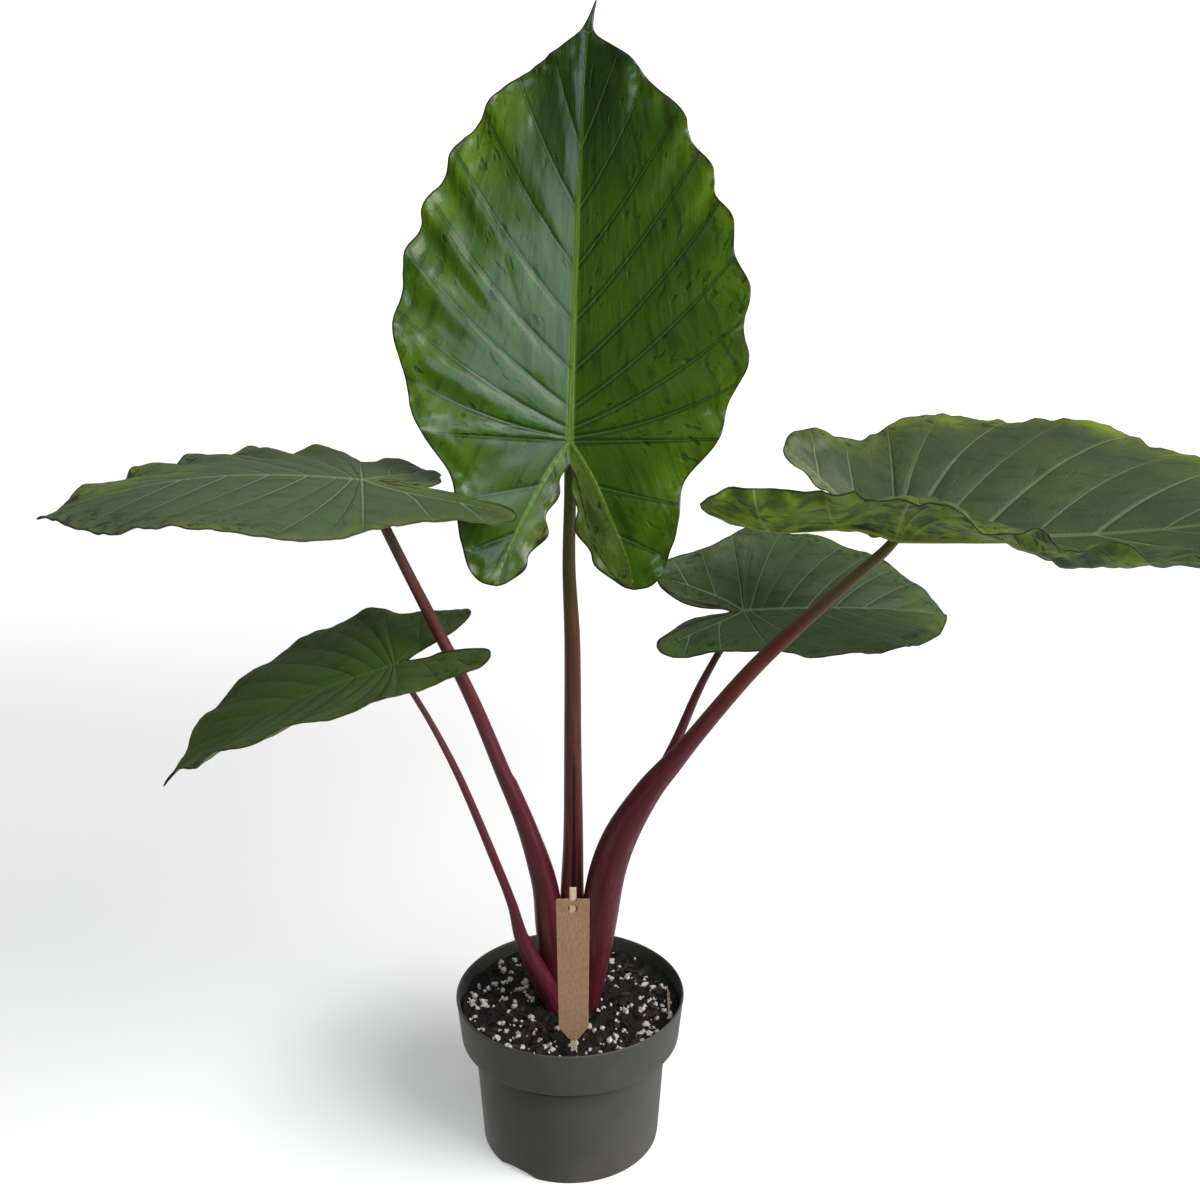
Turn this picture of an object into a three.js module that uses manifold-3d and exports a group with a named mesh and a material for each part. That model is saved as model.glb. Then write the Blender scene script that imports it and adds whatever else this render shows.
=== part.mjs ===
// Potted imperial red alocasia: five arrow-shaped leaves on long stalks in a nursery pot, with a plant tag.
// Millimetres, +Z up. The origin is the middle of the pot's foot, on the surface that it stands on.
// The plant's front faces -Y, and +X is to the right seen from the front.

import * as THREE from 'three';
import { mergeVertices } from 'three/addons/utils/BufferGeometryUtils.js';
import Module from 'manifold-3d';

const wasm = await Module();
wasm.setup();

// Driving dimensions of the pot
const POT_HEIGHT = 118;
const RIM_RADIUS = 85;
const BAND_HEIGHT = 35;
const BAND_BOTTOM_RADIUS = 81.5;
const WALL_TOP_RADIUS = 71.8;
const WALL_FOOT_RADIUS = 66.9;
const FOOT_RADIUS = 66.2;
const POT_WALL = 1.6;
const POT_FLOOR = 5;
const FLOOR_RECESS = 3;
const FOOT_RING_INNER = 57;
const FOOT_PAD_RADIUS = 20;
const POT_SEGMENTS = 40;
const LIP_HEIGHT = 3;
const LIP_THICKNESS = 2.3;
const LIP_ROUND = [0.4, 1.1, 1.9];
const STEP_ROUND = 0.8;
const STEP_HEIGHT = 1.6;
const FLOOR_ROUND = 3;
const FOOT_CHAMFER = [0.5, 0.9];
const RECESS_SLOPE = 1.5;
const DRAIN_HOLES = 6;
const DRAIN_RADIUS = 4;
const DRAIN_CIRCLE = 40;
const DRAIN_SIDES = 12;
const NOTCH_COUNT = 3;
const NOTCH_WIDTH = 34;
const NOTCH_HEIGHT = 4;
const NOTCH_TURN = -35;
const NOTCH_SIDES = 48;
const CUT_LENGTH = 30;

// Driving dimensions of the soil
const SOIL_LEVEL = 107;
const SOIL_ROUGHNESS = 1.6;
const SOIL_WAVES = [[0.16, 1.3, 0.19, -0.4], [0.37, 0, -0.29, 0]];
const SOIL_RINGS = 6;
const SOIL_SEGMENTS = 24;
const SOIL_SHOULDER = 4.5;
const SOIL_SEED = 41;
const PERLITE_COUNT = 40;
const PERLITE_SIZE = [1.5, 2.9];
const PERLITE_RISE = 0.15;
const BARK_COUNT = 16;
const BARK_SIZE = [[4, 8], [2.5, 4.5], [2, 3.5]];
const BARK_RISE = 0.1;
const BARK_TILT = 0.8;
const GRAIN_MARGIN = { perlite: 5, bark: 8, stalks: 32, stick: 8 };

// Clearance between touching pieces, and where one stalk clasps another
const GAP = 0.3;
const CLASP_GAP = 0.4;

// Driving dimensions of the leaves. Rib and vein sizes are those of a leaf of the reference length.
const BLADE_THICKNESS = 0.8;
const RIB_DEPTH = 3.6;
const RIB_HALF_WIDTH = 3;
const VEIN_DEPTH = 0.5;
const RIB_TAPER = 0.8;
const RIB_SHARE = [0.1, 0.2];
const REFERENCE_LENGTH = 276;
const HALF_WIDTH = 0.43;
const TAIL = 1.065;
const DROOP_POWER = 1.5;
const LOBE_REACH = 0.4;
const WAVE_FADE = 7;
const WAVE_POWER = 2.5;
const SCALLOP_POWER = 3;
const MIDRIB_STEPS = 40;
const ARC_STEPS = 12;
const SLOPE_STEP = 0.5;
const STALK_SIDES = 8;
const STALK_STEPS_PER_POINT = 1.25;

// Driving dimensions of the tag and its stick
const TAG_Y = -67;
const TAG_THICKNESS = 1.2;
const TAG_TOP = 228.5;
const TAG_SHOULDER = 130;
const TAG_POINT = 120.5;
const TAG_TOP_WIDTH = 23;
const TAG_SHOULDER_WIDTH = 20.6;
const TAG_POINT_WIDTH = 7;
const TAG_CORNER = 1.6;
const TAG_CORNER_SIDES = 4;
const TAG_HOLE_Z = 221.5;
const TAG_HOLE_RADIUS = 3.3;
const TAG_HOLE_SIDES = 20;
const TAG_SLOT_DEPTH = 1.6;
const TAG_X = 3.9;
const STICK_WIDTH = 4.6;
const STICK_THICKNESS = 2;
const STICK_TOP = 236;
const STICK_BOTTOM = 78;
const PUNCH_LENGTH = 10;

// Outline of half a leaf, as fractions of its length from the junction to the apex: along the midrib
// towards the apex, then across. It runs from the end of a rear lobe to the end of the drip tip.
const OUTER_MARGIN = [
  [-0.355, 0.17], [-0.345, 0.212], [-0.31, 0.244], [-0.25, 0.259], [-0.18, 0.268], [-0.1, 0.295],
  [-0.02, 0.345], [0.08, 0.396], [0.2, 0.428], [0.32, 0.43], [0.45, 0.405], [0.58, 0.358],
  [0.7, 0.3], [0.8, 0.235], [0.89, 0.15], [0.955, 0.06], [0.985, 0.022], [1.01, 0.01], [TAIL, 0],
];

// Margin of the cleft between the rear lobes, from its apex to the lobe's end
const INNER_MARGIN = [
  [-0.055, 0], [-0.092, 0.02], [-0.15, 0.036], [-0.208, 0.053], [-0.266, 0.077], [-0.31, 0.108],
  [-0.345, 0.142], [-0.355, 0.17],
];

// Main rib of a rear lobe, from the junction to the lobe's end
const LOBE_RIB = [[0, 0], [-0.08, 0.055], [-0.18, 0.105], [-0.28, 0.15], [-0.355, 0.17]];

// Side veins from the lobe's end to the drip tip: where each leaves its rib (-1 is the lobe's end, 0 the
// junction, above 0 a fraction along the midrib), and how far along the midrib it meets the margin.
const VEINS = [
  [-1, -0.355], [-0.66, -0.28], [-0.33, -0.155], [0, 0], [0.01, 0.135], [0.03, 0.29], [0.08, 0.44],
  [0.17, 0.57], [0.29, 0.69], [0.42, 0.79], [0.56, 0.875], [0.71, 0.94], [0.985, 0.995], [TAIL, TAIL],
];
const JUNCTION_VEIN = 3;
const VEIN_BOW = 0.05;
const LOBE_STRETCH_START = 0.12;

// Across a half leaf, from the rib to the margin; the first step after the rib is the rib's own half width
const COLUMNS = [0, 0.3, 0.58, 0.82, 1];
const CLEFT_COLUMNS = [0, 0.55, 1];

// Each leaf: heading turns from +X to +Y, pitch is up, droop is what the tip loses and veer what it turns.
// The other values are for its two halves, the left one first, seen from above with the tip ahead: lobe
// stretches a rear lobe, fold lifts a half from the midrib and curl bends it further towards the margin,
// each at the four KNOTS, wave and scallop are the margin's height and width, and crests are where the
// waves stand up, as fractions along the midrib. width scales the outline across, and cleft opens the gap
// between the lobes.
const KNOTS = [-0.355, 0, 0.35, 1];
const LEAVES = [
  {
    name: 'crown', junction: [2.4, -4, 529.7], length: 276, heading: 85.5, pitch: 72, droop: -5, veer: -12,
    roll: 0, lobeLift: -3, lobe: [1, 1], cleft: [0, -0.028], width: 0.975,
    fold: [[16, 16, 14, 11], [8, 8, 7, 6]], curl: [[0, 0, 0, 0], [0, 0, 0, 0]], curlPower: 1,
    wave: [2.4, 2.6], scallop: [2.2, 3.2], quilt: 0.8, rowsPerVein: 4,
    crests: [[-0.2, 0.02, 0.25, 0.43, 0.55, 0.68, 0.82], [-0.2, 0.0, 0.18, 0.36, 0.53, 0.65, 0.78]],
  },
  {
    name: 'left', junction: [-130.3, -38, 510.3], length: 198, heading: 192, pitch: 7, droop: 30, veer: 0,
    roll: -10, lobeLift: 1, lobe: [1.38, 0.76], cleft: [-0.04, -0.04], width: 1,
    fold: [[0, -7, -9, -8], [-5, -3, -5, -6]], curl: [[-18, 2, 10, 12], [-8, -8, -8, -10]], curlPower: 1,
    wave: [3.4, 4], scallop: [1, 1.5], quilt: 1.1, rowsPerVein: 2,
    crests: [[-0.2, 0.56, 1], [-0.2, 0.14, 0.36, 0.56, 0.72, 0.88]],
  },
  {
    name: 'left_lower', junction: [-116, -28, 382.2], length: 166, heading: 188, pitch: -16, droop: 22,
    veer: 0, roll: -14, lobeLift: -10, lobe: [1.08, 1.02], cleft: [-0.012, 0], width: 0.97,
    fold: [[-5, 3, 5, 16], [6, 21, 14, 10]], curl: [[8, 20, 26, 22], [-20, -20, -20, -20]], curlPower: 1,
    wave: [2.4, 1.6], scallop: [1.2, 1], quilt: 0.9, rowsPerVein: 2,
    crests: [[-0.25, 0.05, 0.42, 0.72], [-0.2, 0.05, 0.35, 0.65, 0.85]],
  },
  {
    name: 'right', junction: [212.7, -45, 474.4], length: 292, heading: -6, pitch: 0, droop: -20,
    veer: -12, roll: 3.4, lobeLift: -19, lobe: [0.81, 1.25], cleft: [0.05, 0.016], width: 1,
    fold: [[67, 39, 38.5, 8], [-13, 44, -7, -5]], curl: [[-80, -24, -31, -20], [229, -60, 51, 0]],
    curlPower: 1.5, wave: [2.4, 2.8], scallop: [1.2, 1.5], quilt: 1.2, rowsPerVein: 4,
    crests: [[-0.25, 0.08, 0.5, 0.78], [-0.25, 0.05, 0.22, 0.38, 0.55, 0.72, 0.86]],
  },
  {
    name: 'right_lower', junction: [128, 62, 394.6], length: 174, heading: 14, pitch: -1, droop: 13,
    veer: 8, roll: 22, lobeLift: 5, lobe: [1.02, 1.21], cleft: [-0.02, -0.03], width: 0.98,
    fold: [[58, 43, 26, 22], [-6, 5, 6, 8]], curl: [[-18, -18, -18, -12], [10, 10, 10, 0]], curlPower: 1,
    wave: [1.2, 2.2], scallop: [0.8, 1.4], quilt: 0.9, rowsPerVein: 2,
    crests: [[-0.15, 0.2, 0.46, 0.72, 0.92], [-0.2, 0.03, 0.3, 0.56, 0.8]],
  },
];

// Each stalk: points [x, y, z, diameter] from its base in the soil to just under its leaf's junction.
// A later stalk is cut to clasp the ones before it, as the sheaths do.
const STALKS = [
  {
    name: 'crown',
    points: [
      [1, 0, 97, 22], [1, 0, 120, 22], [2, 0, 159, 20.5], [2, 0, 200, 17.6], [3, 0, 240, 15],
      [3, 1, 317, 12.7], [3, 1, 391, 11.5], [1, 3, 444, 9.4], [2, 3.5, 489, 8.6], [2.4, 4, 515, 8.3],
      [2.4, 4, 533, 6.7],
    ],
  },
  {
    name: 'right',
    points: [
      [10, -4, 97, 20], [13, -5, 120, 23], [17, -8, 147, 25], [21, -11, 178, 27.5], [28, -15, 223, 27.1],
      [38, -19, 254, 24.7], [57, -23, 289, 18.5], [73, -26, 311, 14.7], [86, -29, 330, 13],
      [127, -34, 384, 11.4], [167, -39, 426, 9.5], [193, -42, 452, 8.2], [206, -44, 465, 7.6],
      [214, -45, 475, 6.6],
    ],
  },
  {
    name: 'left',
    points: [
      [-8, 2, 97, 20], [-9, 1, 120, 22], [-11, -1, 142, 23], [-14, -4, 172, 22.8], [-17, -7, 203, 19.7],
      [-21, -10, 224, 18], [-31, -13, 259, 14], [-44, -16, 295, 11.8], [-65, -22, 355, 10],
      [-87, -25, 406, 8.6], [-106, -31, 451, 7.6], [-120, -35, 485, 7.1], [-130, -38, 511, 6],
    ],
  },
  {
    name: 'right_lower',
    points: [
      [14, 6, 97, 13], [16, 8, 125, 14], [22, 13, 168, 13.5], [34, 20, 213, 10.6], [56, 28, 258, 9.2],
      [78, 36, 301, 7.9], [95, 45, 339, 6.5], [108, 52, 362, 5.6], [121, 58, 382, 5.3], [129, 62, 396, 4.8],
    ],
  },
  {
    name: 'left_lower',
    points: [
      [-10, -8, 97, 15], [-13, -8, 115, 16], [-19, -10, 130, 15.8], [-26, -12, 145, 14.4],
      [-35, -13, 169, 11], [-41, -15, 196, 7.6], [-55, -16, 238, 6.7], [-70, -17, 280, 6],
      [-79, -19, 304, 5.5], [-94, -23, 339, 4.6], [-107, -26, 365, 4.2], [-116, -28, 383, 3.9],
    ],
  },
];

// The open edge of the crown stalk's sheath, a tapering groove down its front
const GROOVE_TOP = 312;
const GROOVE_BOTTOM = 130;
const GROOVE_WIDTH = 5;
const GROOVE_DEPTH = 3.4;
const GROOVE_REACH = 20;
const GROOVE_OFFSET = 1.5;
const GROOVE_POINT = 3;

// The short stem that the stalks clasp: [radius, height]
const STEM_PROFILE = [[0, 84], [12, 84], [13.5, 92], [12.5, 102], [8, 111], [0, 114]];
const STEM_SEGMENTS = 16;

const radians = THREE.MathUtils.degToRad;

// A repeatable random source
function makeRandom(seed) {
  let state = seed;
  return () => {
    state = (state * 1664525 + 1013904223) % 4294967296;
    return state / 4294967296;
  };
}

// A closed geometry as a solid
function solidOf(geometry) {
  const bare = geometry.clone();
  bare.deleteAttribute('normal');
  bare.deleteAttribute('uv');
  const merged = mergeVertices(bare, 1e-4);
  const kept = [];
  for (let i = 0; i < merged.index.count; i += 3) {
    const corners = [0, 1, 2].map((n) => merged.index.getX(i + n));
    if (new Set(corners).size === 3) kept.push(...corners);
  }
  return new wasm.Manifold(new wasm.Mesh({
    numProp: 3,
    vertProperties: new Float32Array(merged.attributes.position.array),
    triVerts: new Uint32Array(kept),
  }));
}

// The largest body of a solid, so that no scrap of a cut is left
function largestBody(solid) {
  const bodies = solid.decompose();
  return bodies.reduce((best, body) => (body.volume() > best.volume() ? body : best));
}

function geometryOf(solid) {
  const mesh = solid.getMesh();
  const geometry = new THREE.BufferGeometry();
  geometry.setAttribute('position', new THREE.BufferAttribute(new Float32Array(mesh.vertProperties), 3));
  geometry.setIndex(new THREE.BufferAttribute(new Uint32Array(mesh.triVerts), 1));
  geometry.computeVertexNormals();
  return geometry;
}

const group = new THREE.Group();
const materials = {
  leaf: new THREE.MeshStandardMaterial({ color: 0x2f6126, roughness: 0.35, metalness: 0 }),
  shadedLeaf: new THREE.MeshStandardMaterial({ color: 0x4b6242, roughness: 0.45, metalness: 0 }),
  stalk: new THREE.MeshStandardMaterial({ color: 0x5b2632, roughness: 0.4, metalness: 0 }),
  stem: new THREE.MeshStandardMaterial({ color: 0x3f2021, roughness: 0.6, metalness: 0 }),
  pot: new THREE.MeshStandardMaterial({ color: 0x4d5153, roughness: 0.6, metalness: 0 }),
  soil: new THREE.MeshStandardMaterial({ color: 0x1d1613, roughness: 0.95, metalness: 0 }),
  card: new THREE.MeshStandardMaterial({ color: 0xa37f60, roughness: 0.85, metalness: 0 }),
  wood: new THREE.MeshStandardMaterial({ color: 0xe2c9a2, roughness: 0.7, metalness: 0 }),
};

function addNode(name, solid, material) {
  const mesh = new THREE.Mesh(geometryOf(solid), material);
  mesh.name = name;
  group.add(mesh);
}

// Leaf outline

const outerCurve = new THREE.SplineCurve(OUTER_MARGIN.map(([s, t]) => new THREE.Vector2(s, t)));
const innerCurve = new THREE.SplineCurve(INNER_MARGIN.map(([s, t]) => new THREE.Vector2(s, t)));
const lobeRibCurve = new THREE.SplineCurve(LOBE_RIB.map(([s, t]) => new THREE.Vector2(s, t)));

// How far round the outer margin, from 0 to 1, it reaches a distance along the midrib
function marginAt(along) {
  let low = 0;
  let high = 1;
  for (let i = 0; i < 30; i += 1) {
    const middle = (low + high) / 2;
    if (outerCurve.getPointAt(middle).x < along) low = middle;
    else high = middle;
  }
  return (low + high) / 2;
}

const veinRoots = VEINS.map(([place]) => place);
const veinEnds = VEINS.map(([, along], index) => (index === 0 ? 0 : marginAt(along)));

function blendList(values, position) {
  const index = Math.min(Math.floor(position), values.length - 2);
  return THREE.MathUtils.lerp(values[index], values[index + 1], position - index);
}

// A value that changes smoothly along a leaf from one knot to the next
function knotValue(values, along) {
  const last = KNOTS.length - 2;
  let index = 0;
  while (index < last && along > KNOTS[index + 1]) index += 1;
  const part = THREE.MathUtils.smoothstep(along, KNOTS[index], KNOTS[index + 1]);
  return THREE.MathUtils.lerp(values[index], values[index + 1], part);
}

// How a rear lobe's stretch sets in away from the midrib
function lobeStretch(leaf, side, place) {
  if (place.x >= 0) return 1;
  const part = Math.min(1, Math.abs(place.y) / LOBE_STRETCH_START);
  return THREE.MathUtils.lerp(1, leaf.lobe[side < 0 ? 0 : 1], part);
}

// A wave that is 1 at each crest and -1 between two crests
function marginWave(crests, around) {
  const places = crests.map(marginAt);
  const gap = places[1] - places[0];
  let index = places.findIndex((place) => place > around);
  if (index < 0) index = places.length;
  const before = index === 0 ? places[0] - gap : places[index - 1];
  const after = index === places.length ? before + gap : places[index];
  const fade = Math.min(1, around * WAVE_FADE, (1 - around) * WAVE_FADE);
  return fade * Math.cos(2 * Math.PI * (around - before) / (after - before));
}

// Leaf surface

// Where the midrib of a leaf runs, in steps from the junction, with the blade's upward direction
function midribFrame(leaf, along) {
  const ahead = along >= 0;
  const step = Math.abs(along) / MIDRIB_STEPS;
  const point = new THREE.Vector3(...leaf.junction);
  let pitch = 0;
  let heading = 0;
  const direction = (distance) => {
    const part = distance / leaf.length;
    if (ahead) {
      pitch = radians(leaf.pitch - leaf.droop * part ** DROOP_POWER);
      heading = radians(leaf.heading + leaf.veer * part ** DROOP_POWER);
    } else {
      pitch = radians(leaf.pitch + (leaf.lobeLift * part) / LOBE_REACH);
      heading = radians(leaf.heading);
    }
    return new THREE.Vector3(
      Math.cos(pitch) * Math.cos(heading), Math.cos(pitch) * Math.sin(heading), Math.sin(pitch),
    );
  };
  for (let i = 0; i < MIDRIB_STEPS; i += 1) {
    point.addScaledVector(direction((i + 0.5) * step), ahead ? step : -step);
  }
  const tangent = direction(Math.abs(along));
  const up = new THREE.Vector3(
    -Math.sin(pitch) * Math.cos(heading), -Math.sin(pitch) * Math.sin(heading), Math.cos(pitch),
  );
  const across = new THREE.Vector3().crossVectors(tangent, up);
  const roll = radians(leaf.roll);
  const rolledUp = up.clone().multiplyScalar(Math.cos(roll)).addScaledVector(across, Math.sin(roll));
  const rolledAcross = across.multiplyScalar(Math.cos(roll)).addScaledVector(up, -Math.sin(roll));
  return { point, up: rolledUp, across: rolledAcross };
}

// The point of a leaf at a distance along its midrib and a distance across, with its folds and curl
function bladePoint(leaf, along, across) {
  const frame = midribFrame(leaf, along);
  const side = across < 0 ? 0 : 1;
  const width = Math.abs(across);
  const fullWidth = HALF_WIDTH * leaf.length;
  const fold = knotValue(leaf.fold[side], along / leaf.length);
  const curl = knotValue(leaf.curl[side], along / leaf.length);
  const step = width / ARC_STEPS;
  let out = 0;
  let lift = 0;
  for (let i = 0; i < ARC_STEPS; i += 1) {
    const part = ((i + 0.5) * step) / fullWidth;
    const angle = radians(fold + curl * part ** leaf.curlPower);
    out += Math.cos(angle) * step;
    lift += Math.sin(angle) * step;
  }
  return frame.point.addScaledVector(frame.across, Math.sign(across) * out).addScaledVector(frame.up, lift);
}

// A hump that is 0 at both ends and 1 in the middle
function hump(part) {
  return 4 * part * (1 - part);
}

// The flat place of a row's point on one half: vein says which row, part runs from the rib to the margin
function outerPlace(leaf, side, vein, part) {
  const origin = blendList(veinRoots, vein);
  const root = origin < 0 ? lobeRibCurve.getPointAt(-origin) : new THREE.Vector2(origin, 0);
  const around = blendList(veinEnds, vein);
  const end = outerCurve.getPointAt(around);
  const bow = VEIN_BOW * THREE.MathUtils.clamp(vein - JUNCTION_VEIN, 0, 1) * root.distanceTo(end);
  const place = root.clone().lerp(end, part);
  place.x -= bow * hump(part);
  const half = side < 0 ? 0 : 1;
  const crest = marginWave(leaf.crests[half], around);
  const scallop = leaf.scallop[half] * crest * part ** SCALLOP_POWER;
  const quilt = leaf.quilt * Math.sin(Math.PI * (vein % 1)) * hump(part);
  return {
    along: place.x * leaf.length * lobeStretch(leaf, side, place),
    across: side * (place.y * leaf.length * leaf.width + scallop),
    lift: leaf.wave[half] * crest * part ** WAVE_POWER + quilt,
    reach: root.distanceTo(end) * leaf.length,
  };
}

// The same for the strip between a lobe's rib and the cleft; part of rib runs from the junction to the end
function cleftPlace(leaf, side, ribPart, part) {
  const root = lobeRibCurve.getPointAt(ribPart);
  const end = innerCurve.getPointAt(ribPart);
  end.y += leaf.cleft[side < 0 ? 0 : 1] * Math.sin(Math.PI * ribPart);
  const place = root.lerp(end, part);
  const along = place.x * leaf.length * lobeStretch(leaf, side, place);
  return { along, across: side * place.y * leaf.length * leaf.width, lift: 0 };
}

// Depth of the rib under a point of the rib's own line
function ribDepth(leaf, along, onLobe) {
  const size = leaf.length / REFERENCE_LENGTH;
  const part = Math.abs(along) / leaf.length;
  const fade = onLobe ? 1 + part / KNOTS[0] : 1 - part / TAIL;
  return RIB_DEPTH * size * Math.max(0, fade) ** RIB_TAPER;
}

// A leaf as one closed solid. Extra thickness makes the cutter that keeps its stalk clear.
function bladeSolid(leaf, extra) {
  const vertices = [];
  const lookup = new Map();
  const triangles = [];

  const addVertex = (place, depth) => {
    const base = bladePoint(leaf, place.along, place.across);
    const sideways = place.across === 0 ? SLOPE_STEP : Math.sign(place.across) * SLOPE_STEP;
    const along = bladePoint(leaf, place.along + SLOPE_STEP, place.across).sub(base);
    const across = bladePoint(leaf, place.along, place.across + sideways).sub(base);
    const normal = across.cross(along).normalize();
    if (sideways < 0) normal.negate();
    const point = base.addScaledVector(normal, place.lift);
    const key = point.toArray().map((value) => value.toFixed(3)).join(' ');
    if (!lookup.has(key)) {
      lookup.set(key, vertices.length);
      vertices.push({ point, depth });
    }
    const index = lookup.get(key);
    vertices[index].depth = Math.max(vertices[index].depth, depth);
    return index;
  };

  const addPatch = (rows, flipped) => {
    for (let i = 0; i < rows.length - 1; i += 1) {
      for (let j = 0; j < rows[i].length - 1; j += 1) {
        const quad = [rows[i][j], rows[i + 1][j], rows[i + 1][j + 1], rows[i][j + 1]];
        for (const [a, b, c] of [[quad[0], quad[1], quad[2]], [quad[0], quad[2], quad[3]]]) {
          if (a !== b && b !== c && a !== c) triangles.push(flipped ? [a, c, b] : [a, b, c]);
        }
      }
    }
  };

  const last = VEINS.length - 1;
  const rowCount = last * leaf.rowsPerVein;
  const size = leaf.length / REFERENCE_LENGTH;
  const [endShare, mostShare] = RIB_SHARE;
  for (const side of [-1, 1]) {
    const outerRows = [];
    for (let i = 0; i <= rowCount; i += 1) {
      const vein = i / leaf.rowsPerVein;
      const onVein = i % leaf.rowsPerVein === 0;
      const { reach } = outerPlace(leaf, side, vein, 0);
      const ribPart = reach < 1e-6 ? endShare : Math.min(mostShare, (RIB_HALF_WIDTH * size) / reach);
      const parts = [COLUMNS[0], ribPart, ...COLUMNS.slice(1)];
      outerRows.push(parts.map((part, column) => {
        const place = outerPlace(leaf, side, vein, part);
        if (column === 0) return addVertex(place, ribDepth(leaf, place.along, vein < JUNCTION_VEIN));
        const veinDepth = onVein ? VEIN_DEPTH * size * (1 - part) : 0;
        return addVertex(place, veinDepth);
      }));
    }
    addPatch(outerRows, side > 0);
    const cleftRows = [];
    const cleftCount = JUNCTION_VEIN * leaf.rowsPerVein;
    for (let i = 0; i <= cleftCount; i += 1) {
      const ribPart = -blendList(veinRoots, i / leaf.rowsPerVein);
      cleftRows.push(CLEFT_COLUMNS.map((part, column) => {
        const place = cleftPlace(leaf, side, ribPart, part);
        return addVertex(place, column === 0 ? ribDepth(leaf, place.along, true) : 0);
      }));
    }
    addPatch(cleftRows, side < 0);
  }

  // The upper face and the lower face take the same triangles, apart by the blade's thickness
  const normals = vertices.map(() => new THREE.Vector3());
  const edges = new Map();
  for (const triangle of triangles) {
    const [a, b, c] = triangle.map((index) => vertices[index].point);
    const normal = b.clone().sub(a).cross(c.clone().sub(a));
    triangle.forEach((index) => normals[index].add(normal));
    for (let i = 0; i < 3; i += 1) {
      const from = triangle[i];
      const to = triangle[(i + 1) % 3];
      const twin = `${to} ${from}`;
      if (edges.has(twin)) edges.delete(twin);
      else edges.set(`${from} ${to}`, [from, to]);
    }
  }
  const upper = [];
  const lower = [];
  vertices.forEach(({ point, depth }, index) => {
    const normal = normals[index].normalize();
    upper.push(point.clone().addScaledVector(normal, BLADE_THICKNESS / 2 + extra));
    lower.push(point.clone().addScaledVector(normal, -BLADE_THICKNESS / 2 - depth - extra));
  });
  const positions = new Float32Array([...upper, ...lower].flatMap((point) => point.toArray()));
  const shift = vertices.length;
  const faces = [];
  for (const [a, b, c] of triangles) {
    faces.push(a, b, c, a + shift, c + shift, b + shift);
  }
  for (const [from, to] of edges.values()) {
    faces.push(to, from, from + shift, to, from + shift, to + shift);
  }
  return new wasm.Manifold(new wasm.Mesh({
    numProp: 3, vertProperties: positions, triVerts: new Uint32Array(faces),
  }));
}

// Stalks

// A tapering round stalk through its points; extra makes it fatter and longer for a clearance cut
function stalkSolid(stalk, extra) {
  const steps = Math.round((stalk.points.length - 1) * STALK_STEPS_PER_POINT);
  const centres = new THREE.CatmullRomCurve3(stalk.points.map(([x, y, z]) => new THREE.Vector3(x, y, z)));
  const sizes = stalk.points.map((point) => point[3] / 2);
  const frames = centres.computeFrenetFrames(steps);
  const positions = [];
  const faces = [];
  const addPoint = (point) => positions.push(...point.toArray());
  for (let i = 0; i <= steps; i += 1) {
    const place = i / steps;
    const centre = centres.getPointAt(place);
    if (i === 0) centre.addScaledVector(frames.tangents[i], -extra);
    if (i === steps) centre.addScaledVector(frames.tangents[i], extra);
    const radius = blendList(sizes, centres.getUtoTmapping(place) * (sizes.length - 1)) + extra;
    for (let j = 0; j < STALK_SIDES; j += 1) {
      const angle = (2 * Math.PI * j) / STALK_SIDES;
      addPoint(centre.clone()
        .addScaledVector(frames.normals[i], Math.cos(angle) * radius)
        .addScaledVector(frames.binormals[i], Math.sin(angle) * radius));
    }
  }
  const ring = (i, j) => i * STALK_SIDES + (j % STALK_SIDES);
  for (let i = 0; i < steps; i += 1) {
    for (let j = 0; j < STALK_SIDES; j += 1) {
      faces.push(ring(i, j), ring(i, j + 1), ring(i + 1, j + 1));
      faces.push(ring(i, j), ring(i + 1, j + 1), ring(i + 1, j));
    }
  }
  for (let j = 1; j < STALK_SIDES - 1; j += 1) {
    faces.push(ring(0, 0), ring(0, j + 1), ring(0, j));
    faces.push(ring(steps, 0), ring(steps, j), ring(steps, j + 1));
  }
  return new wasm.Manifold(new wasm.Mesh({
    numProp: 3, vertProperties: new Float32Array(positions), triVerts: new Uint32Array(faces),
  }));
}

// The wedge that opens the front of the crown stalk's sheath
function grooveCutter() {
  const shape = new THREE.Shape();
  shape.moveTo(0, GROOVE_TOP);
  shape.lineTo(GROOVE_WIDTH / 2, GROOVE_BOTTOM);
  shape.lineTo(-GROOVE_WIDTH / 2, GROOVE_BOTTOM);
  shape.closePath();
  const geometry = new THREE.ExtrudeGeometry(shape, { depth: GROOVE_REACH, bevelEnabled: false });
  const [x, y, , diameter] = STALKS[0].points[GROOVE_POINT];
  geometry.rotateX(Math.PI / 2);
  geometry.translate(x + GROOVE_OFFSET, y - diameter / 2 + GROOVE_DEPTH, 0);
  return solidOf(geometry);
}

function lathe(profile, segments) {
  const points = profile.map(([radius, height]) => new THREE.Vector2(radius, height));
  const geometry = new THREE.LatheGeometry(points, segments);
  geometry.rotateX(Math.PI / 2);
  return geometry;
}

function stemSolid(extra) {
  const profile = STEM_PROFILE.map(([radius, height], index) => {
    const rise = index < 2 ? -extra : extra;
    return [radius > 0 ? radius + extra : 0, height + rise];
  });
  return solidOf(lathe(profile, STEM_SEGMENTS));
}

// Pot

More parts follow.
